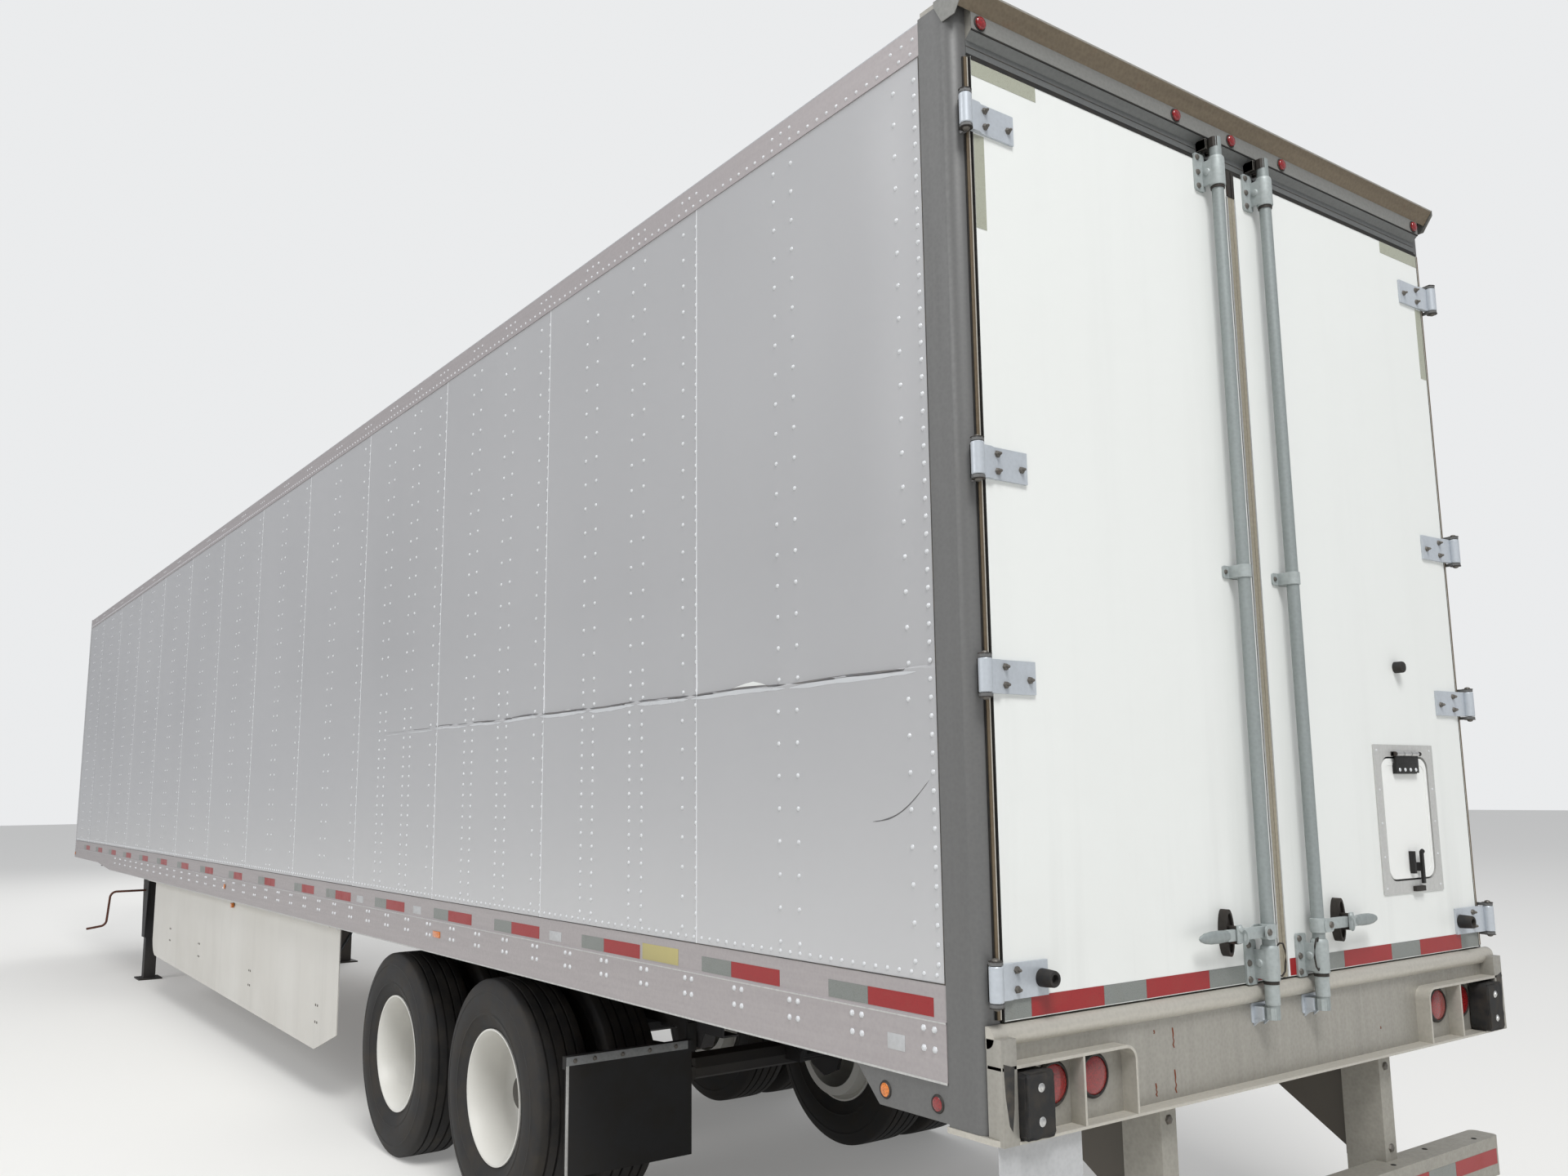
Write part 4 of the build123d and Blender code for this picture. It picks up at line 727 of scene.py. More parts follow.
def wall_marks():
    """Scrape marks and painted light: the crease's painted highlight and its dark line, partly scrape and partly
    painted shade, between the posts, and one curved scratch.
    """
    piece = Piece("wall_marks")
    edges = sorted(post for post in POSTS if post < CREASE_END)
    for start, end in zip([CREASE_START] + edges, edges + [CREASE_END]):
        low = start + 0.012
        high = end - 0.012
        if high - low < 0.05:
            continue
        places = [low + (high - low) * step / 12 for step in range(13)]
        route = [(x, crease_line(x) + 0.002) for x in places]
        fade = min(1.0, (CREASE_END - low) / 2.2)
        # A painted highlight under the crease, and the crease's dark line, partly a scrape and partly painted shade.
        piece.add(ribbon([(x, z - 0.013) for x, z in route], 0.018 * fade, 0.0004), "crease_light")
        piece.add(ribbon(route, 0.009 * fade, 0.0007), "scrape_mark")
    shares = [step / 14 for step in range(15)]
    scratch = [(0.244 + 0.244 * share, 1.858 - 0.115 * share - 0.03 * sin(pi * share)) for share in shares]
    piece.add(ribbon(scratch, 0.0045, 0.0007), "scrape_mark")
    piece.build("trailer")


RAIL_TAPES = [
    (0.25, 0.707), (0.955, 1.406), (1.83, 2.29), (2.677, 3.14), (3.4, 3.875), (4.29, 4.75), (5.17, 5.64),
    (5.89, 6.32), (6.79, 7.22), (7.68, 8.08),
] + [(8.6 + 0.9 * index, 9.05 + 0.9 * index) for index in range(8)]
TAPE_LOW = 1.2335
TAPE_HIGH = 1.283
TAPE_FACE = SHEET_Y + 0.0008
LABEL_SOFT = 0.0003


def rail_dress(side_name, side):
    """Tape, blank plates, the sealed joint and two painted highlight lines along one bottom rail."""
    piece = Piece(f"rail_marks_{side_name}")
    for start, end in RAIL_TAPES:
        middle = start + (end - start) * 0.6
        for a, b, look in ((start, middle, "red_tape"), (middle + 0.001, end, "white_tape")):
            piece.bricks(look, ((a, SHEET_Y, TAPE_LOW), (b, TAPE_FACE, TAPE_HIGH)))
    if side > 0:
        piece.bricks("blank_label", ((1.56, SHEET_Y, 1.236), (1.81, SHEET_Y + 0.001, 1.292), LABEL_SOFT))
        piece.bricks("plate_blank", ((0.363, OUTER_Y, 1.128), (0.436, OUTER_Y + 0.001, 1.171), LABEL_SOFT))
        for x in (2.47, 4.05, 4.95):
            piece.bricks("plate_blank", ((x, SHEET_Y, 1.238), (x + 0.11, SHEET_Y + 0.001, 1.276), LABEL_SOFT))
    piece.bricks("amber_lens", ((3.77, OUTER_Y, 1.146), (3.86, OUTER_Y + 0.004, 1.176), 0.0015))
    piece.bricks(
        "sealant",
        ((WALL_REAR, SHEET_Y - 0.002, RAIL_TOP), (WALL_FRONT, SHEET_Y + 0.0012, RAIL_TOP + 0.003)),
        ((WALL_REAR - 0.004, SHEET_Y - 0.002, RAIL_TOP), (WALL_REAR + 0.005, SHEET_Y + 0.002, 3.98)))
    # Painted highlights: bright lines on the rail's lower edge and on the step of its band.
    piece.bricks(
        "bright_edge",
        ((WALL_REAR, OUTER_Y - 0.002, RAIL_LOW), (13.39, OUTER_Y + 0.0006, RAIL_LOW + 0.006)),
        ((WALL_REAR, OUTER_Y - 0.002, RAIL_BAND - 0.004), (WALL_FRONT, OUTER_Y + 0.0006, RAIL_BAND)))
    piece.build("trailer", 35, side)


for side_name, side in SIDES:
    wall_skin(side_name, side)
    rivets(side_name, side)
    rail_dress(side_name, side)
wall_marks()

# Wheels: ribbed tyres on dished disc wheels

GROOVES = (-0.072, -0.026, 0.026, 0.072)
GROOVE_HALF = 0.0045
GROOVE_DEEP = 0.013
SIDEWALL = (
    (0.501, 0.1145), (0.494, 0.1185), (0.482, 0.1255), (0.468, 0.13), (0.452, 0.1345), (0.449, 0.1365),
    (0.444, 0.1365), (0.441, 0.135), (0.42, 0.1385), (0.4, 0.139), (0.378, 0.1375), (0.36, 0.133),
    (0.357, 0.1345), (0.352, 0.1345), (0.349, 0.131), (0.33, 0.124), (0.312, 0.115), (0.3, 0.1085),
    (0.2893, 0.106),
)


def moved(profile, by):
    """A profile of (radius, along) points, further along."""
    return [(radius, along + by) for radius, along in profile]


def tyre_profile():
    """Half of the section outwards, mirrored inwards, with the ribs between."""
    crown = TYRE_RADIUS - 0.0005
    deep = TYRE_RADIUS - GROOVE_DEEP
    tread = [(TYRE_RADIUS - 0.002, -0.108)]
    for groove in GROOVES:
        for edge in (-GROOVE_HALF, GROOVE_HALF):
            slope = [(crown, groove + edge - 0.001), (deep, groove + edge + 0.001)]
            tread += slope if edge < 0 else [(deep, slope[0][1]), (crown, slope[1][1])]
    tread.append((TYRE_RADIUS - 0.002, 0.108))
    inner = [(radius, -half) for radius, half in reversed(SIDEWALL)]
    return inner + tread + list(SIDEWALL) + inner[:1]


# The wheel's profile: the outer disc from its middle, the drum, the inner disc from its middle
OUTER_DISC = (
    (0.2888, 0.106), (0.2888, 0.112), (0.281, 0.112), (0.277, 0.104), (0.27, 0.092), (0.266, 0.06), (0.258, 0.03),
    (0.252, -0.06), (0.244, -0.092), (0.226, -0.108), (0.2, -0.116), (0.176, -0.119), (0.166, -0.123),
    (0.1, -0.123), (0.098, -0.119), (0.096, -0.098), (0.0, -0.098),
)
DRUM = ((0.0, 0.955), (0.212, 0.955), (0.212, 0.6405), (0.254, 0.642))
INNER_DISC = ((0.258, -0.09), (0.27, -0.096), (0.277, -0.104), (0.281, -0.112), (0.2888, -0.112))
# From the face of the disc
CAP = (
    (0.0, 0.11), (0.06, 0.11), (0.07, 0.104), (0.074, 0.094), (0.074, 0.03), (0.088, 0.026), (0.088, 0.006),
    (0.094, 0.002),
)
STAIN = ((0.0945, 0.0035), (0.101, 0.0006), (0.16, 0.0006), (0.16, 0.0002))


def circle_spots(axle, radius, count, start=0.0):
    """Spots (x, z) spread evenly round an axle."""
    angles = [tau * index / count + start for index in range(count)]
    return [(axle + radius * cos(angle), TYRE_RADIUS + radius * sin(angle)) for angle in angles]


LUG_RING = 0.1425
HAND_RING = 0.207
CAP_RING = 0.081


def wheel_end(end, axle, side_name, side):
    """Tyres, discs and hub of one twin wheel."""
    centre = (axle, 0, TYRE_RADIUS)
    body = f"wheels_{end}_{side_name}"
    tyre = Piece(f"tyre_{end}_{side_name}")
    for middle in TWINS_Y:
        tyre.add(lathe(moved(tyre_profile(), middle), centre, "y", 96), "tyre_rubber")
    tyre.build(body, 30, side, (f"tyres_{end}_{side_name}",))
    wheel = Piece(f"wheel_{end}_{side_name}")
    inner, outer = TWINS_Y
    discs = moved(OUTER_DISC, outer) + list(DRUM) + moved(INNER_DISC, inner) + moved(OUTER_DISC[:1], outer)
    wheel.add(lathe(discs, centre, "y", 72), "wheel_paint")
    face = outer - 0.123
    for x, z in circle_spots(axle, LUG_RING, 10, 0.1):
        wheel.add(hexagon((x, face - 0.001, z), OUT, 0.033, 0.024), "hub_steel")
        wheel.add(dome((x, face + 0.02, z), OUT, 0.0105, 0.018, 8), "hub_steel")
    for x, z in circle_spots(axle, HAND_RING, 5, 0.4):
        wheel.add(dome((x, outer - 0.1165, z), OUT, 0.03, 0.0022, 20), "shadow_gap")
    wheel.add(lathe(moved(CAP, face), centre, "y", 40), "hub_cap")
    wheel.add(lathe(moved(STAIN, face), centre, "y", 40), "hub_rust")
    for x, z in circle_spots(axle, CAP_RING, 6):
        wheel.add(hexagon((x, face + 0.026, z), OUT, 0.01, 0.006), "hub_steel")
    wheel.build(body, 35, side, (f"wheels_{end}_{side_name}",))


for end, x in AXLES.items():
    for side_name, side in SIDES:
        wheel_end(end, x, side_name, side)


# Outlines drawn out along one axis

def slab(outline, axis, low, high):
    """An outline of points in the two other axes, carried from low to high."""
    points = [on_axis(axis, along, a, b) for along in (low, high) for a, b in outline]
    count = len(outline)
    return points, bands(2, count) + [list(range(count)), list(range(count, 2 * count))]


def ring(outer, inner, axis, low, high):
    """A frame between two outlines with as many points each."""
    count = len(outer)
    points = slab(outer, axis, low, high)[0] + slab(inner, axis, low, high)[0]
    faces = []
    for first, second in ((0, 1), (2, 3), (0, 2), (1, 3)):
        for i in range(count):
            j = (i + 1) % count
            faces.append([first * count + i, first * count + j, second * count + j, second * count + i])
    return points, faces


def rounded(a0, a1, b0, b1, radius, steps=6):
    """Outline of a rectangle with rounded corners."""
    outline = []
    for turn, (right, top) in enumerate(((1, 1), (0, 1), (0, 0), (1, 0))):
        a = a1 - radius if right else a0 + radius
        b = b1 - radius if top else b0 + radius
        for step in range(steps + 1):
            angle = (turn + step / steps) * pi / 2
            outline.append((a + radius * cos(angle), b + radius * sin(angle)))
    return outline


def oval(a, b, half_a, half_b, sides=24):
    return [(a + half_a * cos(tau * i / sides), b + half_b * sin(tau * i / sides)) for i in range(sides)]


def squashed(shape, centre, factors):
    """A shape scaled about a centre."""
    points, faces = shape
    return [tuple(centre[i] + (point[i] - centre[i]) * factors[i] for i in range(3)) for point in points], faces


# Rear doors: trim, tape, hinges, lock rods and stops

FACE = DOOR_FACE - 0.0003
# Edges of the white and red tapes from the hinge side to the middle
TAPES = {
    "left": (1.2265, 1.129, 0.843, 0.663, 0.375, 0.155, 0.04),
    "right": (1.2265, 1.103, 0.819, 0.632, 0.342, 0.11, 0.036),
}
SKIN_EDGE = 1.2265
SEAM_STRIP = {"left": (0.0008, 0.026), "right": (0.0008, 0.021)}
ROD_RADIUS = 0.02
ROD_BORE = 0.0201
ROD_LOW = 1.135
ROD_HIGH = 3.99
SLEEVES = ((1.248, 1.353), (3.818, 3.923))
HANDLE_Z = 1.395
RETAINER_Y = 0.3


def door_trim(side_name, side):
    """Tape, painted shadow in the gaps at the hinge side and under the header, and edge strips of one door."""
    piece = Piece(f"door_trim_{side_name}")
    edges = TAPES[side_name]
    for index, (start, end) in enumerate(zip(edges, edges[1:])):
        look = ("white_tape", "red_tape")[index % 2]
        piece.bricks(look, ((FACE - 0.0006, end + 0.0006, 1.2435), (DOOR_FACE, start, 1.2955)))
    low, high = SEAM_STRIP[side_name]
    piece.bricks("edge_strip", ((FACE - 0.0035, low, 1.243), (DOOR_FACE, high, 3.83), 0.001))
    piece.bricks("bright_edge", ((FACE - 0.0042, high - 0.006, 1.243), (DOOR_FACE, high, 3.83), 0.001))
    piece.bricks("dark_iron", ((FACE - 0.006, low + 0.002, 3.83), (DOOR_FACE, high - 0.004, 3.925), 0.001))
    # Painted shadow: a dark line in the gap at the hinge side, and one under the header along the top.
    piece.bricks(
        "shadow_gap",
        ((FACE, 1.2275, DOOR_LOW + 0.001), (DOOR_FACE + 0.02, 1.2312, DOOR_TOP - 0.001)),
        ((FACE - 0.0015, 0.0045, DOOR_TOP - 0.01), (DOOR_FACE, SKIN_EDGE, DOOR_TOP - 0.001)))
    piece.bricks(
        "silver_tape",
        ((FACE - 0.0006, 0.96, 3.872), (DOOR_FACE, SKIN_EDGE, 3.919)),
        ((FACE - 0.0006, 1.186, 3.405), (DOOR_FACE, SKIN_EDGE, 3.69)))
    piece.build(f"door_{side_name}", 30, side)


STRAP_FACE = 0.0407
HINGE_HALF = 0.0455
BARREL = (
    (0.009, -HINGE_HALF), (0.0172, -HINGE_HALF), (0.0188, -0.043), (0.0188, 0.043), (0.0172, HINGE_HALF),
    (0.009, HINGE_HALF), (0.009, -HINGE_HALF),
)
STRAP = (
    (FACE, 1.07), (STRAP_FACE, 1.07), (STRAP_FACE, 1.199), (0.0345, 1.213), (0.0345, 1.2665), (FACE, 1.2665),
)
NUT = 0.019
STOP_Y = 1.094


def add_hinge(piece, level, bare):
    """Barrel and bolted strap of one hinge; the lowest has the stop in place of its third bolt."""
    piece.add(lathe(moved(BARREL, level), (HINGE_X, HINGE_Y, 0), "z", 24), "hinge_zinc")
    piece.add(slab(STRAP, "z", level - HINGE_HALF, level + HINGE_HALF), "hinge_zinc")
    for y, z in ((1.187, level + 0.027), (1.187, level - 0.022), (STOP_Y, level - 0.006))[:3 if bare else 2]:
        piece.add(hexagon((STRAP_FACE, y, z), BACK, NUT, NUT * 0.5), "bolt_steel")
        piece.add(dome((STRAP_FACE - NUT * 0.45, y, z), BACK, NUT * 0.29, NUT * 0.5, 8), "bolt_steel")


def on_rod(piece, profile, look="cast_zinc"):
    """A part turned on the lock rod's axis."""
    piece.add(lathe(profile, (ROD_X, ROD_Y, 0), "z", 24), look)


def add_sleeve(piece, low, high, out, end_ring):
    """One guide sleeve with its bolted bracket, on the side of the rod that out gives."""
    on_rod(piece, (
        (ROD_BORE, low), (0.0262, low + 0.001), (0.027, low + 0.004), (0.027, high - 0.011), (0.0258, high - 0.005),
        (0.0225, high), (ROD_BORE, high),
    ))
    middle = (low + high) / 2
    near, far = sorted((ROD_Y + out * 0.014, ROD_Y + out * 0.066))
    outline = rounded(near, far, low - 0.012, high + 0.016, 0.009, 4)
    piece.add(slab(outline, "x", FACE - 0.008, FACE), "cast_zinc")
    web = ROD_Y + out * 0.0195, ROD_Y + out * 0.0268
    piece.bricks("cast_zinc", ((ROD_X, web[0], low + 0.006), (FACE, web[1], high - 0.012), 0.002))
    for z in (low + 0.004, middle, high + 0.001):
        piece.add(dome((FACE - 0.008, ROD_Y + out * 0.052, z), BACK, 0.0105, 0.007, 12), "bolt_steel")
    piece.add(dome((ROD_X + 0.02, web[1], middle), (0, out, 0), 0.013, 0.006, 16), "cast_zinc")
    on_rod(piece, [(ROD_BORE, end_ring), (0.0232, end_ring), (0.0232, end_ring + 0.009), (ROD_BORE, end_ring + 0.009)],
           "dark_iron")


HALF_CAM = (
    (-0.019, 0.0), (-0.0165, 0.012), (-0.006, 0.0212), (0.008, 0.0212), (0.018, 0.0148), (0.0415, 0.0148),
    (0.0415, 0.0055), (0.029, 0.0),
)
CAM = HALF_CAM + tuple((x, -y) for x, y in reversed(HALF_CAM[1:-1]))
GRIP = (
    (0.0, 0.334), (0.015, 0.338), (0.0172, 0.35), (0.019, 0.385), (0.0186, 0.42), (0.015, 0.45), (0.0085, 0.469),
    (0.0, 0.478),
)


def add_handle(piece):
    """Clevis on the rod, flat arm, grip, retainer and hasp."""
    z = HANDLE_Z
    on_rod(piece, [(0.0203, z - 0.024), (0.0245, z - 0.022), (0.0245, z + 0.02), (0.0203, z + 0.022)])
    cheek = rounded(ROD_Y - 0.004, 0.182, z - 0.022, z + 0.02, 0.014, 4)
    for x in (-0.0225, 0.0255):
        piece.add(slab(cheek, "x", x, x + 0.005), "cast_zinc")
    piece.add(hexagon((-0.0225, 0.166, z), BACK, 0.02, 0.007), "bolt_steel")
    piece.bricks("cast_zinc", ((-0.006, 0.15, z - 0.017), (0.01, 0.345, z + 0.017), 0.0025))
    middle = (0.001, 0, z)
    piece.add(squashed(lathe(GRIP, middle, "y", 20), middle, (0.62, 1.0, 1.0)), "rod_zinc")
    outline = oval(RETAINER_Y, z + 0.004, 0.0205, 0.069, 28)
    piece.add(slab(outline, "x", 0.028, FACE), "dark_iron")
    inner = oval(RETAINER_Y, z + 0.004, 0.0135, 0.058, 28)
    piece.add(ring(outline, inner, "x", 0.0195, 0.029), "dark_iron")
    for low in (z + 0.018, z - 0.026):
        corners = (-0.01, RETAINER_Y - 0.01, low), (0.03, RETAINER_Y + 0.01, low + 0.008)
        piece.bricks("dark_iron", (*corners, 0.002))
    corners = (-0.015, RETAINER_Y - 0.012, z - 0.024), (-0.0085, RETAINER_Y + 0.012, z + 0.03)
    piece.bricks("cast_zinc", (*corners, 0.003))
    piece.add(dome((-0.015, RETAINER_Y - 0.002, z + 0.018), BACK, 0.011, 0.006, 12), "cast_zinc")
    eye, slot = [oval(-0.022, z - 0.006, half_a, half_b, 16) for half_a, half_b in ((0.01, 0.022), (0.0045, 0.012))]
    piece.add(ring(eye, slot, "y", RETAINER_Y - 0.016, RETAINER_Y - 0.0125), "cast_zinc")


HOOK_ROUTE = (
    (-0.004, 0.112, 1.345), (-0.012, 0.104, 1.358), (-0.014, 0.089, 1.356), (-0.014, 0.08, 1.335),
    (-0.012, 0.078, 1.3), (-0.012, 0.084, 1.272), (-0.01, 0.098, 1.26), (-0.004, 0.111, 1.264),
)
GUIDE_Z = 2.51


def door_fittings(side_name, side):
    """Hinges, lock rod, handle and wire hook of one door."""
    piece = Piece(f"door_fittings_{side_name}")
    for index, level in enumerate(HINGE_LEVELS):
        add_hinge(piece, level, index > 0)
    on_rod(piece, [(0.0, ROD_LOW), (ROD_RADIUS, ROD_LOW), (ROD_RADIUS, ROD_HIGH), (0.0, ROD_HIGH)], "rod_zinc")
    (low, low_end), (high, high_end) = SLEEVES
    add_sleeve(piece, low, low_end, side, low - 0.01)
    add_sleeve(piece, high, high_end, side, high - 0.009)
    on_rod(piece, [(ROD_BORE, 1.176), (0.0222, 1.178), (0.0222, 1.238), (ROD_BORE, 1.239)])
    for start, look in ((ROD_LOW, "cast_zinc"), (ROD_HIGH - 0.035, "dark_iron")):
        piece.add(slab([(ROD_X + x, ROD_Y + y) for x, y in CAM], "z", start, start + 0.035), look)
    low = GUIDE_Z - 0.02
    high = GUIDE_Z + 0.02
    on_rod(piece, [(ROD_BORE, low - 0.001), (0.024, low), (0.024, high), (ROD_BORE, high + 0.001)])
    piece.bricks("cast_zinc", ((ROD_X, ROD_Y - 0.024, low), (FACE, ROD_Y + 0.024, high), 0.002))
    base = rounded(ROD_Y - 0.052, ROD_Y + 0.052, low, high, 0.008, 4)
    piece.add(slab(base, "x", FACE - 0.006, FACE), "cast_zinc")
    for y in (-0.04, 0.04):
        piece.add(dome((FACE - 0.006, ROD_Y + y, GUIDE_Z), BACK, 0.008, 0.006, 10), "bolt_steel")
    add_handle(piece)
    piece.add(pipe(HOOK_ROUTE, 0.0028, 8), "dark_iron")
    piece.build(f"door_{side_name}", 32, side, (f"door_{side_name}_hardware",))


def door_stops(side_name, side):
    """Tapered rubber stop on the lowest hinge, and the lid's stop on the right door."""
    piece = Piece(f"door_stop_{side_name}")
    tip = 0.0404 - 0.047
    profile = [
        (0.0, 0.0403), (0.024, 0.0403), (0.0236, 0.022), (0.0218, tip + 0.004), (0.02, tip), (0.0125, tip),
        (0.0115, tip + 0.014), (0.0, tip + 0.014),
    ]
    piece.add(lathe(profile, (0, STOP_Y, HINGE_LEVELS[0]), "x", 28), "stop_rubber")
    if side < 0:
        profile = [(0.0, FACE), (0.0206, FACE), (0.0206, 0.0225), (0.019, 0.018), (0.015, 0.016), (0.0, 0.016)]
        piece.add(lathe(profile, (0, VENT_Y, 2.25), "x", 28), "stop_rubber")
    piece.build(f"door_{side_name}", 32, side, (f"door_{side_name}_stop",))


for side_name, side in SIDES:
    door_trim(side_name, side)
    door_fittings(side_name, side)
    door_stops(side_name, side)

# Vent hatch in the right door, drawn on the left and mirrored

VENT_PIN = (0.033, 1.94)


def vent_outline(half, low, high, radius):
    return rounded(VENT_Y - half, VENT_Y + half, low, high, radius)


def vent_surround():
    """Riveted flange, lining, hinge ears and keeper of the hatch."""
    piece = Piece("vent_surround")
    inner = vent_outline(0.156, 1.5, 1.93, 0.045)
    piece.add(ring(vent_outline(0.198, 1.458, 1.972, 0.003), inner, "x", FACE - 0.004, FACE), "vent_frame")
    piece.add(ring(vent_outline(0.1767, 1.4793, 1.9507, 0.01), inner, "x", FACE, 0.094), "vent_frame")
    x, z = VENT_PIN
    for out in (-1, 1):
        near, far = sorted((VENT_Y + out * 0.0753, VENT_Y + out * 0.087))
        piece.bricks("dark_iron", ((x, near, z - 0.008), (FACE, far, z + 0.008), 0.001))
        piece.add(lathe([(0.0, near), (0.008, near), (0.008, far), (0.0, far)], (x, 0, z), "y", 16), "dark_iron")
    piece.add(pipe(((x, VENT_Y - 0.081, z), (x, VENT_Y + 0.081, z)), 0.004), "bolt_steel")
    for y in (VENT_Y - 0.177, VENT_Y + 0.177):
        for z in (1.478, 1.585, 1.7, 1.815, 1.952):
            piece.add(dome((FACE - 0.004, y, z), BACK, 0.0045, 0.002, 8), "rivet_head")
    piece.bricks("dark_iron", ((0.0315, VENT_Y - 0.012, 1.462), (FACE - 0.004, VENT_Y + 0.052, 1.48), 0.002))
    piece.build("door_right", 32, -1, ("vent_frame",))


def vent_lid():
    """Pressed lid with its hinge, handle and latch lever."""
    piece = Piece("vent_hatch_lid")
    piece.add(slab(vent_outline(0.15, 1.506, 1.924, 0.042), "x", DOOR_FACE, DOOR_FACE + 0.012), "lid_paint")
    rim = vent_outline(0.149, 1.507, 1.923, 0.041), vent_outline(0.132, 1.53, 1.9, 0.03)
    piece.add(ring(*rim, "x", DOOR_FACE - 0.0015, DOOR_FACE + 0.001), "lid_paint")
    x, z = VENT_PIN
    low = VENT_Y - 0.075
    high = VENT_Y + 0.075
    piece.bricks(
        "lever_black",
        ((x + 0.008, low, 1.87), (DOOR_FACE, high, 1.907), 0.001),
        ((x, low, 1.873), (x + 0.008, high, z - 0.005), 0.001))
    knuckle = ((0.0046, 0.0), (0.008, 0.0), (0.008, 0.046), (0.0046, 0.046), (0.0046, 0.0))
    for index in range(3):
        piece.add(lathe(moved(knuckle, low + 0.001 + index * 0.05), (x, 0, z), "y", 16), "bright_edge")
    for index in range(4):
        piece.add(dome((x, low + 0.021 + index * 0.036, 1.884), BACK, 0.0068, 0.003, 12), "rivet_head")
    piece.bricks(
        "lever_black",
        ((0.03, VENT_Y - 0.016, 1.523), (DOOR_FACE, VENT_Y - 0.002, 1.6), 0.002),
        ((0.024, VENT_Y + 0.027, 1.488), (0.034, VENT_Y + 0.042, 1.6), 0.002),
        ((0.032, VENT_Y + 0.027, 1.53), (DOOR_FACE, VENT_Y + 0.042, 1.56), 0.002))
    knob = ((0.0, -0.009), (0.006, -0.007), (0.009, 0.0), (0.006, 0.007), (0.0, 0.009))
    piece.add(lathe(moved(knob, VENT_Y + 0.04), (0.029, 0, 1.598), "y", 14), "lever_black")
    piece.build("vent", 32, -1, ("vent_lid",))


vent_surround()
vent_lid()

# Rear frame: posts, header, sill, lamps, bumpers and guard

POST_FACE = 0.06
POST_INNER = 1.235
BETWEEN = POST_INNER - 0.0003
SILL_LOW = 0.95
SILL_FACE = 0.055
SILL_END = 1.2897
LIP = 0.005
SHEET = 0.008
KEEPERS = (0.022, 0.03)
STOP_LAMPS = (0.9, 1.06)
STOP_LAMP_Z = 1.067
STOP_LAMP = 0.05
HEADER_LAMPS = (-1.2, -0.3, 0.0, 0.3, 1.2)
HEADER_LAMP_Z = 4.034
MARKER = 0.019
MARKER_Z = 1.014
REAR_MARKERS = (0.244, 0.456)
RAIL_MARKERS = (LENGTH - 0.19, 8.15)
RAIL_MARKER_Z = 1.165
RAIL_MARKER_FACE = 1.3003
NOSE_MARKER_Y = 1.11
BOX_FACE = 1.2903
GUARD_LOW = 0.47
GUARD_TOP = 0.6
GUARD_TAPE = 1.14
GUARD_POST_Y = 0.57
BUMPER_Y = 1.176
DIVIDER_Y = 0.98
GUARD_POST = (0.071, 0.211)
UNDER = 1.0854


def post_dress(side_name, side):
    """Trim between post and door, the hinge pins' heads with painted shadow beside the barrels, the foot plate and a
    painted shadow patch on the sill's end.
    """
    piece = Piece(f"post_dress_{side_name}")
    for near, far, proud, look in (
            (1.2365, 1.2405, 0.009, "frame_cream"), (1.2405, 1.249, 0.0085, "door_trim"),
            (1.249, 1.2535, 0.004, "shadow_gap")):
        piece.bricks(look, ((POST_FACE - proud, near, 1.246), (POST_FACE, far, 3.925), 0.0008))
    washer = ((0.0, 0.0565), (0.0195, 0.0565), (0.0195, 0.0585), (0.0, 0.0585))
    for level in HINGE_LEVELS:
        for sign in (-1, 1):
            profile = [(radius, level + sign * along) for radius, along in washer]
            piece.add(lathe(profile, (HINGE_X, HINGE_Y, 0), "z", 20), "dark_iron")
            top = (HINGE_X, HINGE_Y, level + sign * 0.0585)
            piece.add(dome(top, (0, 0, sign), 0.011, 0.007, 12), "bolt_steel")
        piece.bricks("shadow_gap", ((0.0592, 1.257, level - 0.047), (0.066, 1.27, level + 0.047)))
    foot = ((0.01, 1.228), (0.01, 1.285), (0.03, OUTER_Y), (0.205, OUTER_Y), (0.205, 1.228))
    piece.add(slab(foot, "z", SILL_LOW + 0.0005, SILL_LOW + 0.0155), "frame_cream")
    # Painted shadow: a dark patch in the sealant's colour on the end of the sill, where a recess lies in shade.
    shadow_patch = ((1.245, 1.138), (1.284, 1.15), (1.279, 1.07), (1.268, 1.000), (1.258, 0.985), (1.25, 1.04))
    piece.add(slab(shadow_patch, "x", LIP - 0.0006, LIP + 0.001), "sealant")
    piece.build("trailer", 32, side)


def keeper_prongs(side):
    """Both prongs of the keeper beside one lock rod, as their edges."""
    return [[side * ROD_Y + edge * reach for reach in KEEPERS] for edge in (-1, 1)]


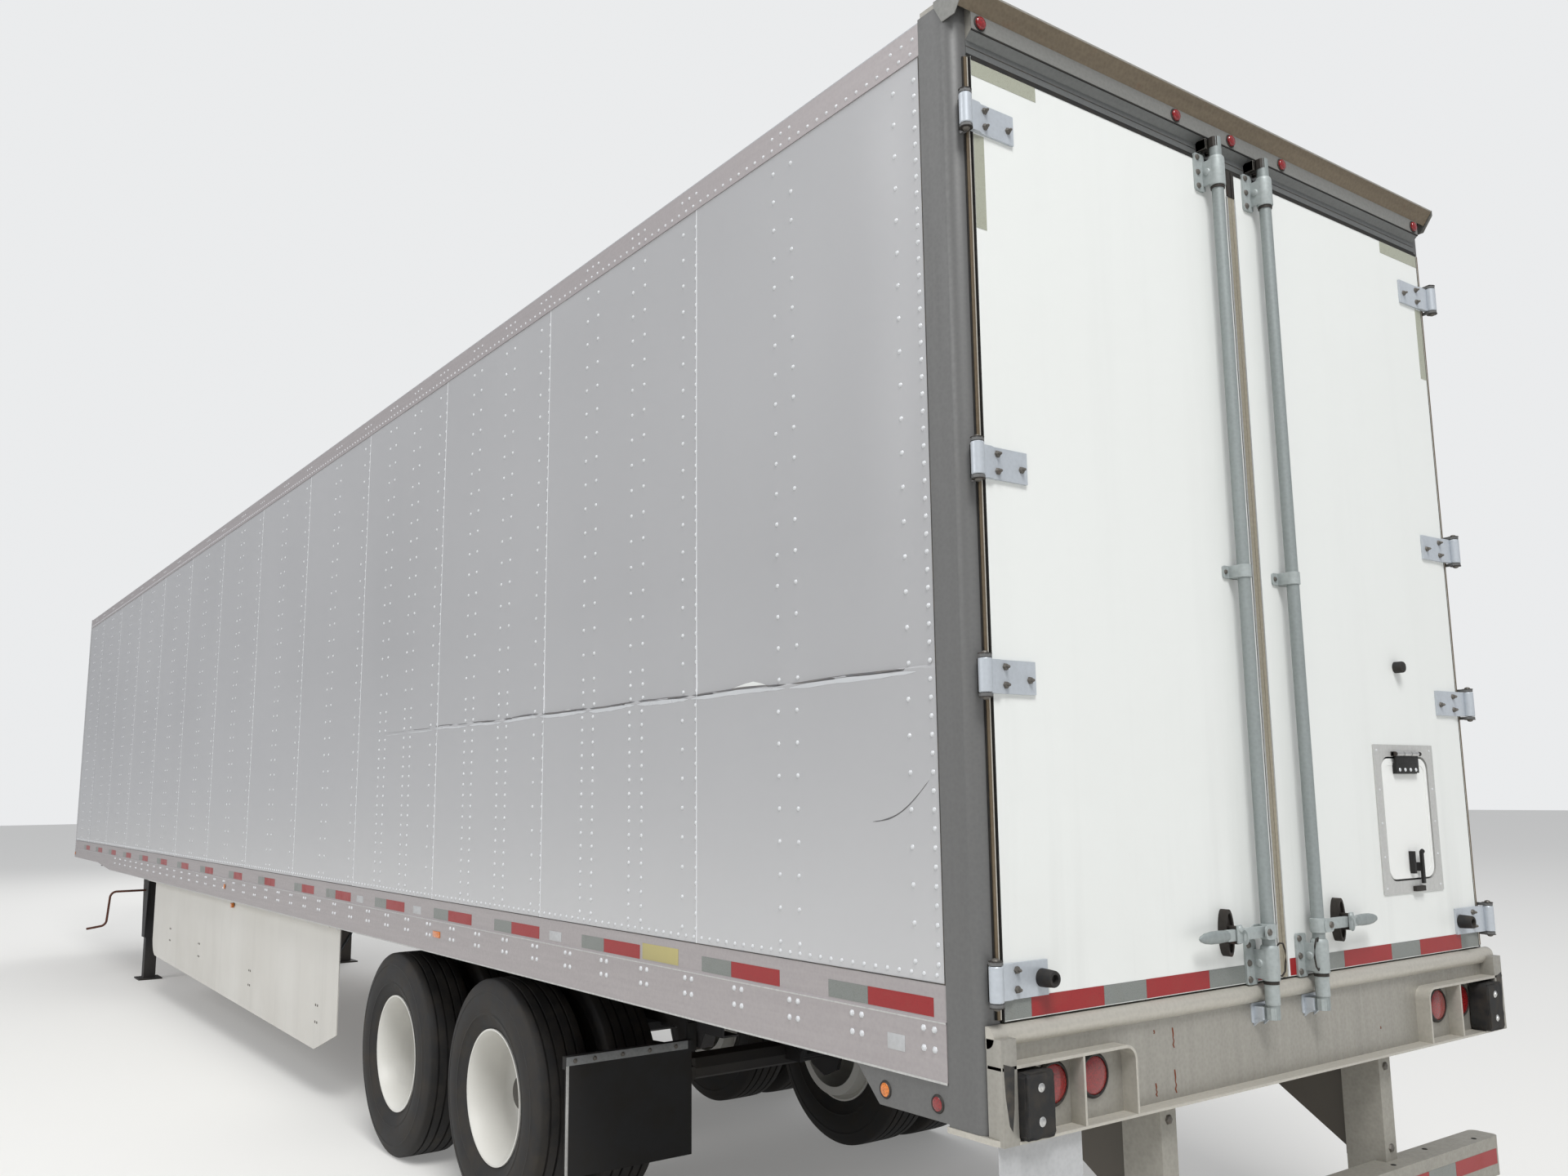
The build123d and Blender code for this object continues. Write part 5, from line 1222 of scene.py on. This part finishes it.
def header_dress():
    """Darker brown soffit, lamp band, seals and the folded end caps."""
    piece = Piece("header_dress")
    # The soffit is given a darker brown than the header's band.
    soffit = ((0.0003, 4.109), (0.0348, 4.062), (0.0338, 4.061), (-0.0007, 4.108))
    piece.add(slab(soffit, "y", -1.2895, 1.2895), "dirty_soffit")
    step = ((0.0345, 4.0079), (0.0597, 3.9849), (0.059, 3.9842), (0.0338, 4.0072))
    piece.add(slab(step, "y", -BETWEEN, BETWEEN), "header_foot")
    for rear, front, low, high, look in (
            (0.034, 0.0352, 4.0085, 4.0615, "header_band"), (0.033, 0.0365, 4.004, 4.0085, "shadow_gap"),
            (0.0588, 0.0602, 3.942, 3.985, "header_foot"), (0.057, 0.0602, 3.9372, 3.943, "shadow_gap"),
            (0.058, 0.0602, 3.964, 3.9665, "sealant")):
        piece.bricks(look, ((rear, -BETWEEN, low), (front, BETWEEN, high)))
    cap = ((-0.001, 4.1155), (-0.001, 4.094), (0.04, 4.036), (0.092, 4.036), (0.125, 4.0975), (0.125, 4.1155))
    for side in (-1, 1):
        piece.add(slab(cap, "y", side * 1.2934, side * 1.2962), "header_band")
        for a, b in keeper_prongs(side):
            piece.bricks("dark_iron", ((0.02, a, 3.9545), (0.0605, b, 3.9905), 0.001))
    bezel = [(MARKER, 0.035), (MARKER, 0.0312), (MARKER + 0.0035, 0.0316), (MARKER + 0.0055, 0.035)]
    for y in HEADER_LAMPS:
        piece.add(lathe(bezel, (0, y, HEADER_LAMP_Z), "x", 28), "lamp_grommet")
    piece.build("trailer", 32)


# Lines of rust that run down the sill, as (y, low, high)
STAINS = (
    (0.633, 1.143, 1.153), (0.55, 1.095, 1.151), (0.636, 0.974, 1.01), (0.55, 0.972, 1.036), (-0.537, 1.026, 1.034),
)
LAMP_ROOF = 1.141


def lamp_guard(inset):
    """Edge of the bent plate over the stop lamps, from the sill's end to its foot."""
    radius = 0.042 - inset
    edge = [(SILL_END, LAMP_ROOF - inset)]
    for step in range(9):
        angle = pi / 2 * step / 8
        edge.append((0.812 - radius * sin(angle), LAMP_ROOF - 0.042 + radius * cos(angle)))
    return edge + [(0.77 + inset, SILL_LOW + SHEET)]


def sill():
    """Sill with rub rail, bent lamp guards and the forked lower keepers."""
    piece = Piece("sill")
    piece.bricks(
        "rear_frame",
        ((SILL_FACE, -BETWEEN, SILL_LOW + SHEET), (SILL_FACE + SHEET, BETWEEN, 1.227)),
        ((SILL_FACE, -BETWEEN, 1.227), (0.19, BETWEEN, FLOOR_TOP)))
    piece.bricks("frame_cream", ((LIP, -BETWEEN, SILL_LOW), (0.11, BETWEEN, SILL_LOW + SHEET), 0.0015))
    rub = [(SILL_FACE + 0.004, FLOOR_TOP), (SILL_FACE + 0.004, 1.181)]
    for step in range(17):
        angle = pi * step / 16
        rub.append((SILL_FACE - 0.025 * sin(angle), 1.208 - 0.027 * cos(angle)))
    piece.add(slab(rub, "y", -SILL_END, SILL_END), "frame_cream")
    outer = lamp_guard(0.0)
    inner = lamp_guard(SHEET)
    for side in (-1, 1):
        low = (LIP, side * BETWEEN, SILL_LOW)
        piece.bricks("rear_frame", (low, (SILL_FACE + 0.004, side * SILL_END, 1.208), 0.002))
        for part in zip(outer, outer[1:], inner[1:], inner):
            piece.add(slab([(side * y, z) for y, z in part], "x", LIP, SILL_FACE), "frame_cream")
        low = (LIP, side * DIVIDER_Y, SILL_LOW + SHEET)
        piece.bricks("frame_cream", (low, (SILL_FACE, side * (DIVIDER_Y + SHEET), LAMP_ROOF - SHEET), 0.001))
        for a, b in keeper_prongs(side):
            piece.bricks("hinge_zinc", ((0.02, a, 1.1345), (SILL_FACE + 0.001, b, 1.171), 0.0015))
            piece.add(slab(((0.03, 1.1345), (SILL_FACE, 1.1345), (SILL_FACE, 1.112)), "y", a, b), "hinge_zinc")
        base = rounded(side * ROD_Y - 0.042, side * ROD_Y + 0.042, 1.122, 1.18, 0.006, 3)
        piece.add(slab(base, "x", SILL_FACE - 0.0035, SILL_FACE), "hinge_zinc")
    for y, low, high in STAINS:
        route = [(y + chance(index, -0.0025, 0.0025), low + (high - low) * index / 6) for index in range(7)]
        left = [(a - 0.0028 * chance(index + 9, 0.4, 1.2), b) for index, (a, b) in enumerate(route)]
        right = [(a + 0.0028 * chance(index + 5, 0.4, 1.2), b) for index, (a, b) in enumerate(route)]
        piece.add(slab(left + right[::-1], "x", SILL_FACE - 0.0005, SILL_FACE), "rust_mark")
    grommet = (
        (STOP_LAMP, SILL_FACE), (STOP_LAMP, 0.044), (STOP_LAMP + 0.004, 0.0435), (STOP_LAMP + 0.01, 0.049),
        (STOP_LAMP + 0.01, SILL_FACE),
    )
    for side in (-1, 1):
        for y in STOP_LAMPS:
            piece.add(lathe(grommet, (0, side * y, STOP_LAMP_Z), "x", 40), "lamp_grommet")
    piece.build("trailer", 32, replaces=("rear_sill",))


def lamp_dome(piece, centre, axis, radius, proud, look):
    """A round lens that bulges along an axis; proud is signed."""
    start = centre["xyz".index(axis)]
    rise = proud * 0.45
    profile = [(radius, start)]
    for step in range(6):
        angle = step / 5 * pi / 2
        profile.append((radius * cos(angle), start + proud - rise + rise * sin(angle)))
    spot = [0 if name == axis else value for name, value in zip("xyz", centre)]
    piece.add(lathe(profile, spot, axis, 32), look)


def red_lamps():
    piece = Piece("red_lights")
    for side in (-1, 1):
        for y in STOP_LAMPS:
            lamp_dome(piece, (0.0547, side * y, STOP_LAMP_Z), "x", STOP_LAMP, -0.014, "red_lens")
        lamp_dome(piece, (REAR_MARKERS[0], side * BOX_FACE, MARKER_Z), "y", MARKER, side * 0.005, "red_lens")
    for y in HEADER_LAMPS:
        lamp_dome(piece, (0.0347, y, HEADER_LAMP_Z), "x", MARKER, -0.014, "red_lens")
    piece.build("trailer", 50, replaces=("red_lamps",))


def amber_lamps():
    piece = Piece("amber_lights")
    for side in (-1, 1):
        lamp_dome(piece, (REAR_MARKERS[1], side * BOX_FACE, MARKER_Z), "y", MARKER, side * 0.005, "amber_lens")
        for x in RAIL_MARKERS:
            lamp_dome(piece, (x, side * RAIL_MARKER_FACE, RAIL_MARKER_Z), "y", MARKER, side * 0.005, "amber_lens")
        lamp_dome(piece, (LENGTH + 0.0003, side * NOSE_MARKER_Y, HEADER_LAMP_Z), "x", MARKER, 0.014, "amber_lens")
    piece.build("trailer", 50, replaces=("amber_lamps",))


def worn_block(low, high, amount):
    """A rubber block whose faces are worn and lumpy."""
    bm = bmesh.new()
    bmesh.ops.create_cube(bm, size=1.0)
    bmesh.ops.subdivide_edges(bm, edges=bm.edges[:], cuts=11, use_grid_fill=True)
    for vertex in bm.verts:
        place = Vector([(a + b) / 2 + part * (b - a) for a, b, part in zip(low, high, vertex.co)])
        inward = Vector([0.0 if abs(part) < 0.46 else -part * 2 for part in vertex.co])
        edges = sum(1 for part in vertex.co if abs(part) > 0.46)
        pull = amount * (0.5 + 0.5 * noise.noise(place * 45)) + (0.005 if edges > 1 else 0.0)
        vertex.co = place + inward * pull
    return taken(bm)


def dock_bumpers():
    piece = Piece("bumpers")
    for side in (-1, 1):
        near, far = sorted((side * 1.1224, side * 1.2344))
        piece.add(worn_block((-0.022, near, 0.9583), (0.0547, far, 1.125), 0.0045), "stop_rubber")
        for z in (1.085, 1.002):
            piece.add(dome((-0.0185, side * BUMPER_Y, z), BACK, 0.0135, 0.004, 14), "bright_edge")
            piece.add(hexagon((-0.0205, side * BUMPER_Y, z), BACK, 0.015, 0.005), "bright_edge")
    piece.build("trailer", 40, replaces=("dock_bumpers",))


def guard():
    """Guard bar with its tape on two channel uprights, their gussets grey-brown darkened with painted shade."""
    piece = Piece("guard")
    outline = rounded(0.01, 0.11, -1.17, 1.17, 0.025, 5)
    piece.add(slab(outline, "z", GUARD_LOW, GUARD_TOP), "guard_steel")
    rear, front = GUARD_POST
    gusset = ((0.201, GUARD_TOP), (0.201, UNDER), (0.861, UNDER), (0.861, UNDER - 0.06))
    for y in (-GUARD_POST_Y, GUARD_POST_Y):
        low = (rear, y - 0.035, GUARD_LOW + 0.02)
        piece.bricks("guard_steel", (low, (front, y + 0.035, SILL_LOW - 0.0003), 0.003))
        # The gussets' colour is their grey-brown darkened with painted shade; a thin sheet of it on each upright's
        # forward face is painted shade.
        piece.add(slab(gusset, "y", y - 0.004, y + 0.004), "gusset_dark")
        low = (front - 0.001, y - 0.034, GUARD_TOP)
        piece.bricks("gusset_dark", (low, (front + 0.0006, y + 0.034, SILL_LOW - 0.001)))
        for z in (0.64, 0.9):
            piece.add(hexagon((rear, y, z), BACK, 0.026, 0.008), "bolt_steel")
    start = -GUARD_TAPE
    width, after = 0.285, 0.175
    look, other = "red_tape", "white_tape"
    while start < 1.1:
        end = min(start + width, GUARD_TAPE)
        piece.bricks(look, ((0.0093, start, 0.51), (0.0102, end - 0.001, 0.56)))
        start += width
        width, after = after, width
        look, other = other, look
    for index in range(9):
        spot = (0.06 + chance(index, -0.02, 0.02), -1.05 + index * 0.262, GUARD_TOP)
        piece.add(dome(spot, (0, 0, 1), 0.01, 0.002, 10), "shadow_gap")
    piece.build("trailer", 32, replaces=("underride_guard",))


for side_name, side in SIDES:
    # The posts take a darker copy of the frame's steel: painted shade and a painted reflection of dark surroundings.
    frame["nodes"][f"rear_post_{side_name}"].data.materials[0] = LOOKS["post_steel"]
    post_dress(side_name, side)
header_dress()
sill()
red_lamps()
amber_lamps()
dock_bumpers()
guard()

# Sides and underside: skirt bolts, hanging lamp and flap edges

SKIRT_FACE = 1.221
FLAP_X = 2.5485
SKIRT_BOLTS = ((10.418, 0.624), (9.255, 0.594), (7.601, 0.548), (5.961, 0.508))


def side_fittings(side_name, side):
    """Skirt bolts and lamp, bezels of the rear markers, and the flap's hanger and edge."""
    piece = Piece(f"side_fittings_{side_name}")
    for x, z in SKIRT_BOLTS:
        for across in (-0.02, 0.02):
            for rise in (-0.05, 0.05):
                piece.add(dome((x + across, SKIRT_FACE, z + rise), OUT, 0.0085, 0.004, 10), "bolt_steel")
    x = 5.62
    while x < 11.15:
        piece.add(dome((x, SKIRT_FACE, 1.04), OUT, 0.007, 0.004, 8), "rivet_head")
        x += 0.305
    piece.bricks("chassis_paint", ((8.135, SKIRT_FACE, 1.02), (8.185, SKIRT_FACE + 0.004, 1.062), 0.001))
    piece.bricks("amber_lens", ((8.138, SKIRT_FACE + 0.004, 1.004), (8.182, SKIRT_FACE + 0.024, 1.04), 0.004))
    bezel = [(MARKER, 1.2905), (MARKER, 1.294), (MARKER + 0.004, 1.2936), (MARKER + 0.006, BOX_FACE)]
    for x in REAR_MARKERS:
        piece.add(lathe(bezel, (x, 0, MARKER_Z), "y", 28), "lamp_grommet")
    piece.bricks("guard_paint", ((FLAP_X, 0.64, 0.735), (2.55, 1.2195, 0.77), 0.0005))
    piece.bricks("bright_edge", ((FLAP_X, 1.2075, 0.302), (2.55, 1.22, 0.735), 0.0005))
    for y in (0.7, 0.83, 0.96, 1.09, 1.18):
        piece.add(hexagon((FLAP_X, y, 0.752), BACK, 0.018, 0.006), "bolt_steel")
    piece.build("trailer", 35, side)


for side_name, side in SIDES:
    side_fittings(side_name, side)

# Nose: sheet joints, round air couplings and the electrical socket

COUPLING_Z = 1.45
COUPLINGS = ((-0.2, 0.028), (0.0, 0.038), (0.2, 0.028))
# As shares of the radius, and along from the face
COUPLING_BARREL = (
    (0.8, 0.02), (1.0, 0.024), (1.0, 0.051), (0.86, 0.055), (0.55, 0.055), (0.5, 0.046), (0.0, 0.046),
)
COUPLING_SEAL = ((0.56, 0.0545), (0.8, 0.0545), (0.8, 0.0552), (0.56, 0.0552))
LEG_X = LENGTH - 3.634
LEG_FACE = 1.0675


def nose():
    """Sheet joints with their rivets, and the seal over the bottom rail."""
    piece = Piece("nose_dress")

    def head(x, y, z):
        piece.add(dome((x, y, z), AHEAD, 0.0075, 0.004), "rivet_head")

    for y in (-1.08, -0.54, 0.54, 1.08):
        piece.bricks("wall_sheet", ((LENGTH, y - 0.02, RAIL_TOP), (LENGTH + 0.0012, y + 0.02, TOP_RAIL_LOW)))
        for edge in (-0.012, 0.012):
            for step in range(26):
                head(LENGTH + 0.0012, y + edge, 1.345 + step * 0.104)
    for step in range(41):
        for z in (1.15, 1.29, 4.05):
            head(LENGTH, -1.16 + step * 0.058, z)
    piece.bricks("sealant", ((LENGTH, -1.19, 1.305), (LENGTH + 0.0015, 1.19, 1.312)))
    piece.build("trailer", 50)


def couplings():
    """Flanged round couplings with their seals and bolts."""
    piece = Piece("air_couplings")
    face = LENGTH + 0.0003
    for y, radius in COUPLINGS:
        outline = rounded(y - 0.05, y + 0.05, COUPLING_Z - 0.05, COUPLING_Z + 0.05, 0.01, 4)
        piece.add(slab(outline, "x", face, face + 0.02), "coupling_metal")
        for look, profile in (("coupling_metal", COUPLING_BARREL), ("lamp_grommet", COUPLING_SEAL)):
            shape = [(radius * share, face + along) for share, along in profile]
            piece.add(lathe(shape, (0, y, COUPLING_Z), "x", 28), look)
        for across in (-0.038, 0.038):
            for rise in (-0.038, 0.038):
                piece.add(hexagon((face + 0.02, y + across, COUPLING_Z + rise), AHEAD, 0.011, 0.005), "bolt_steel")
    piece.build("trailer", 35, replaces=("nose_couplings",))


def landing_bolts(side_name, side):
    """Bolts on the legs' wing plates and on the leg boxes."""
    piece = Piece(f"landing_bolts_{side_name}")
    for reach, levels, across, thick in ((0.115, (0.955, 1.01), 0.024, 0.01), (0.045, (0.44, 0.86), 0.02, 0.008)):
        for x in (LEG_X - reach, LEG_X + reach):
            for z in levels:
                piece.add(hexagon((x, LEG_FACE, z), OUT, across, thick), "bolt_steel")
    piece.build("trailer", 35, side)


nose()
couplings()
for side_name, side in SIDES:
    landing_bolts(side_name, side)
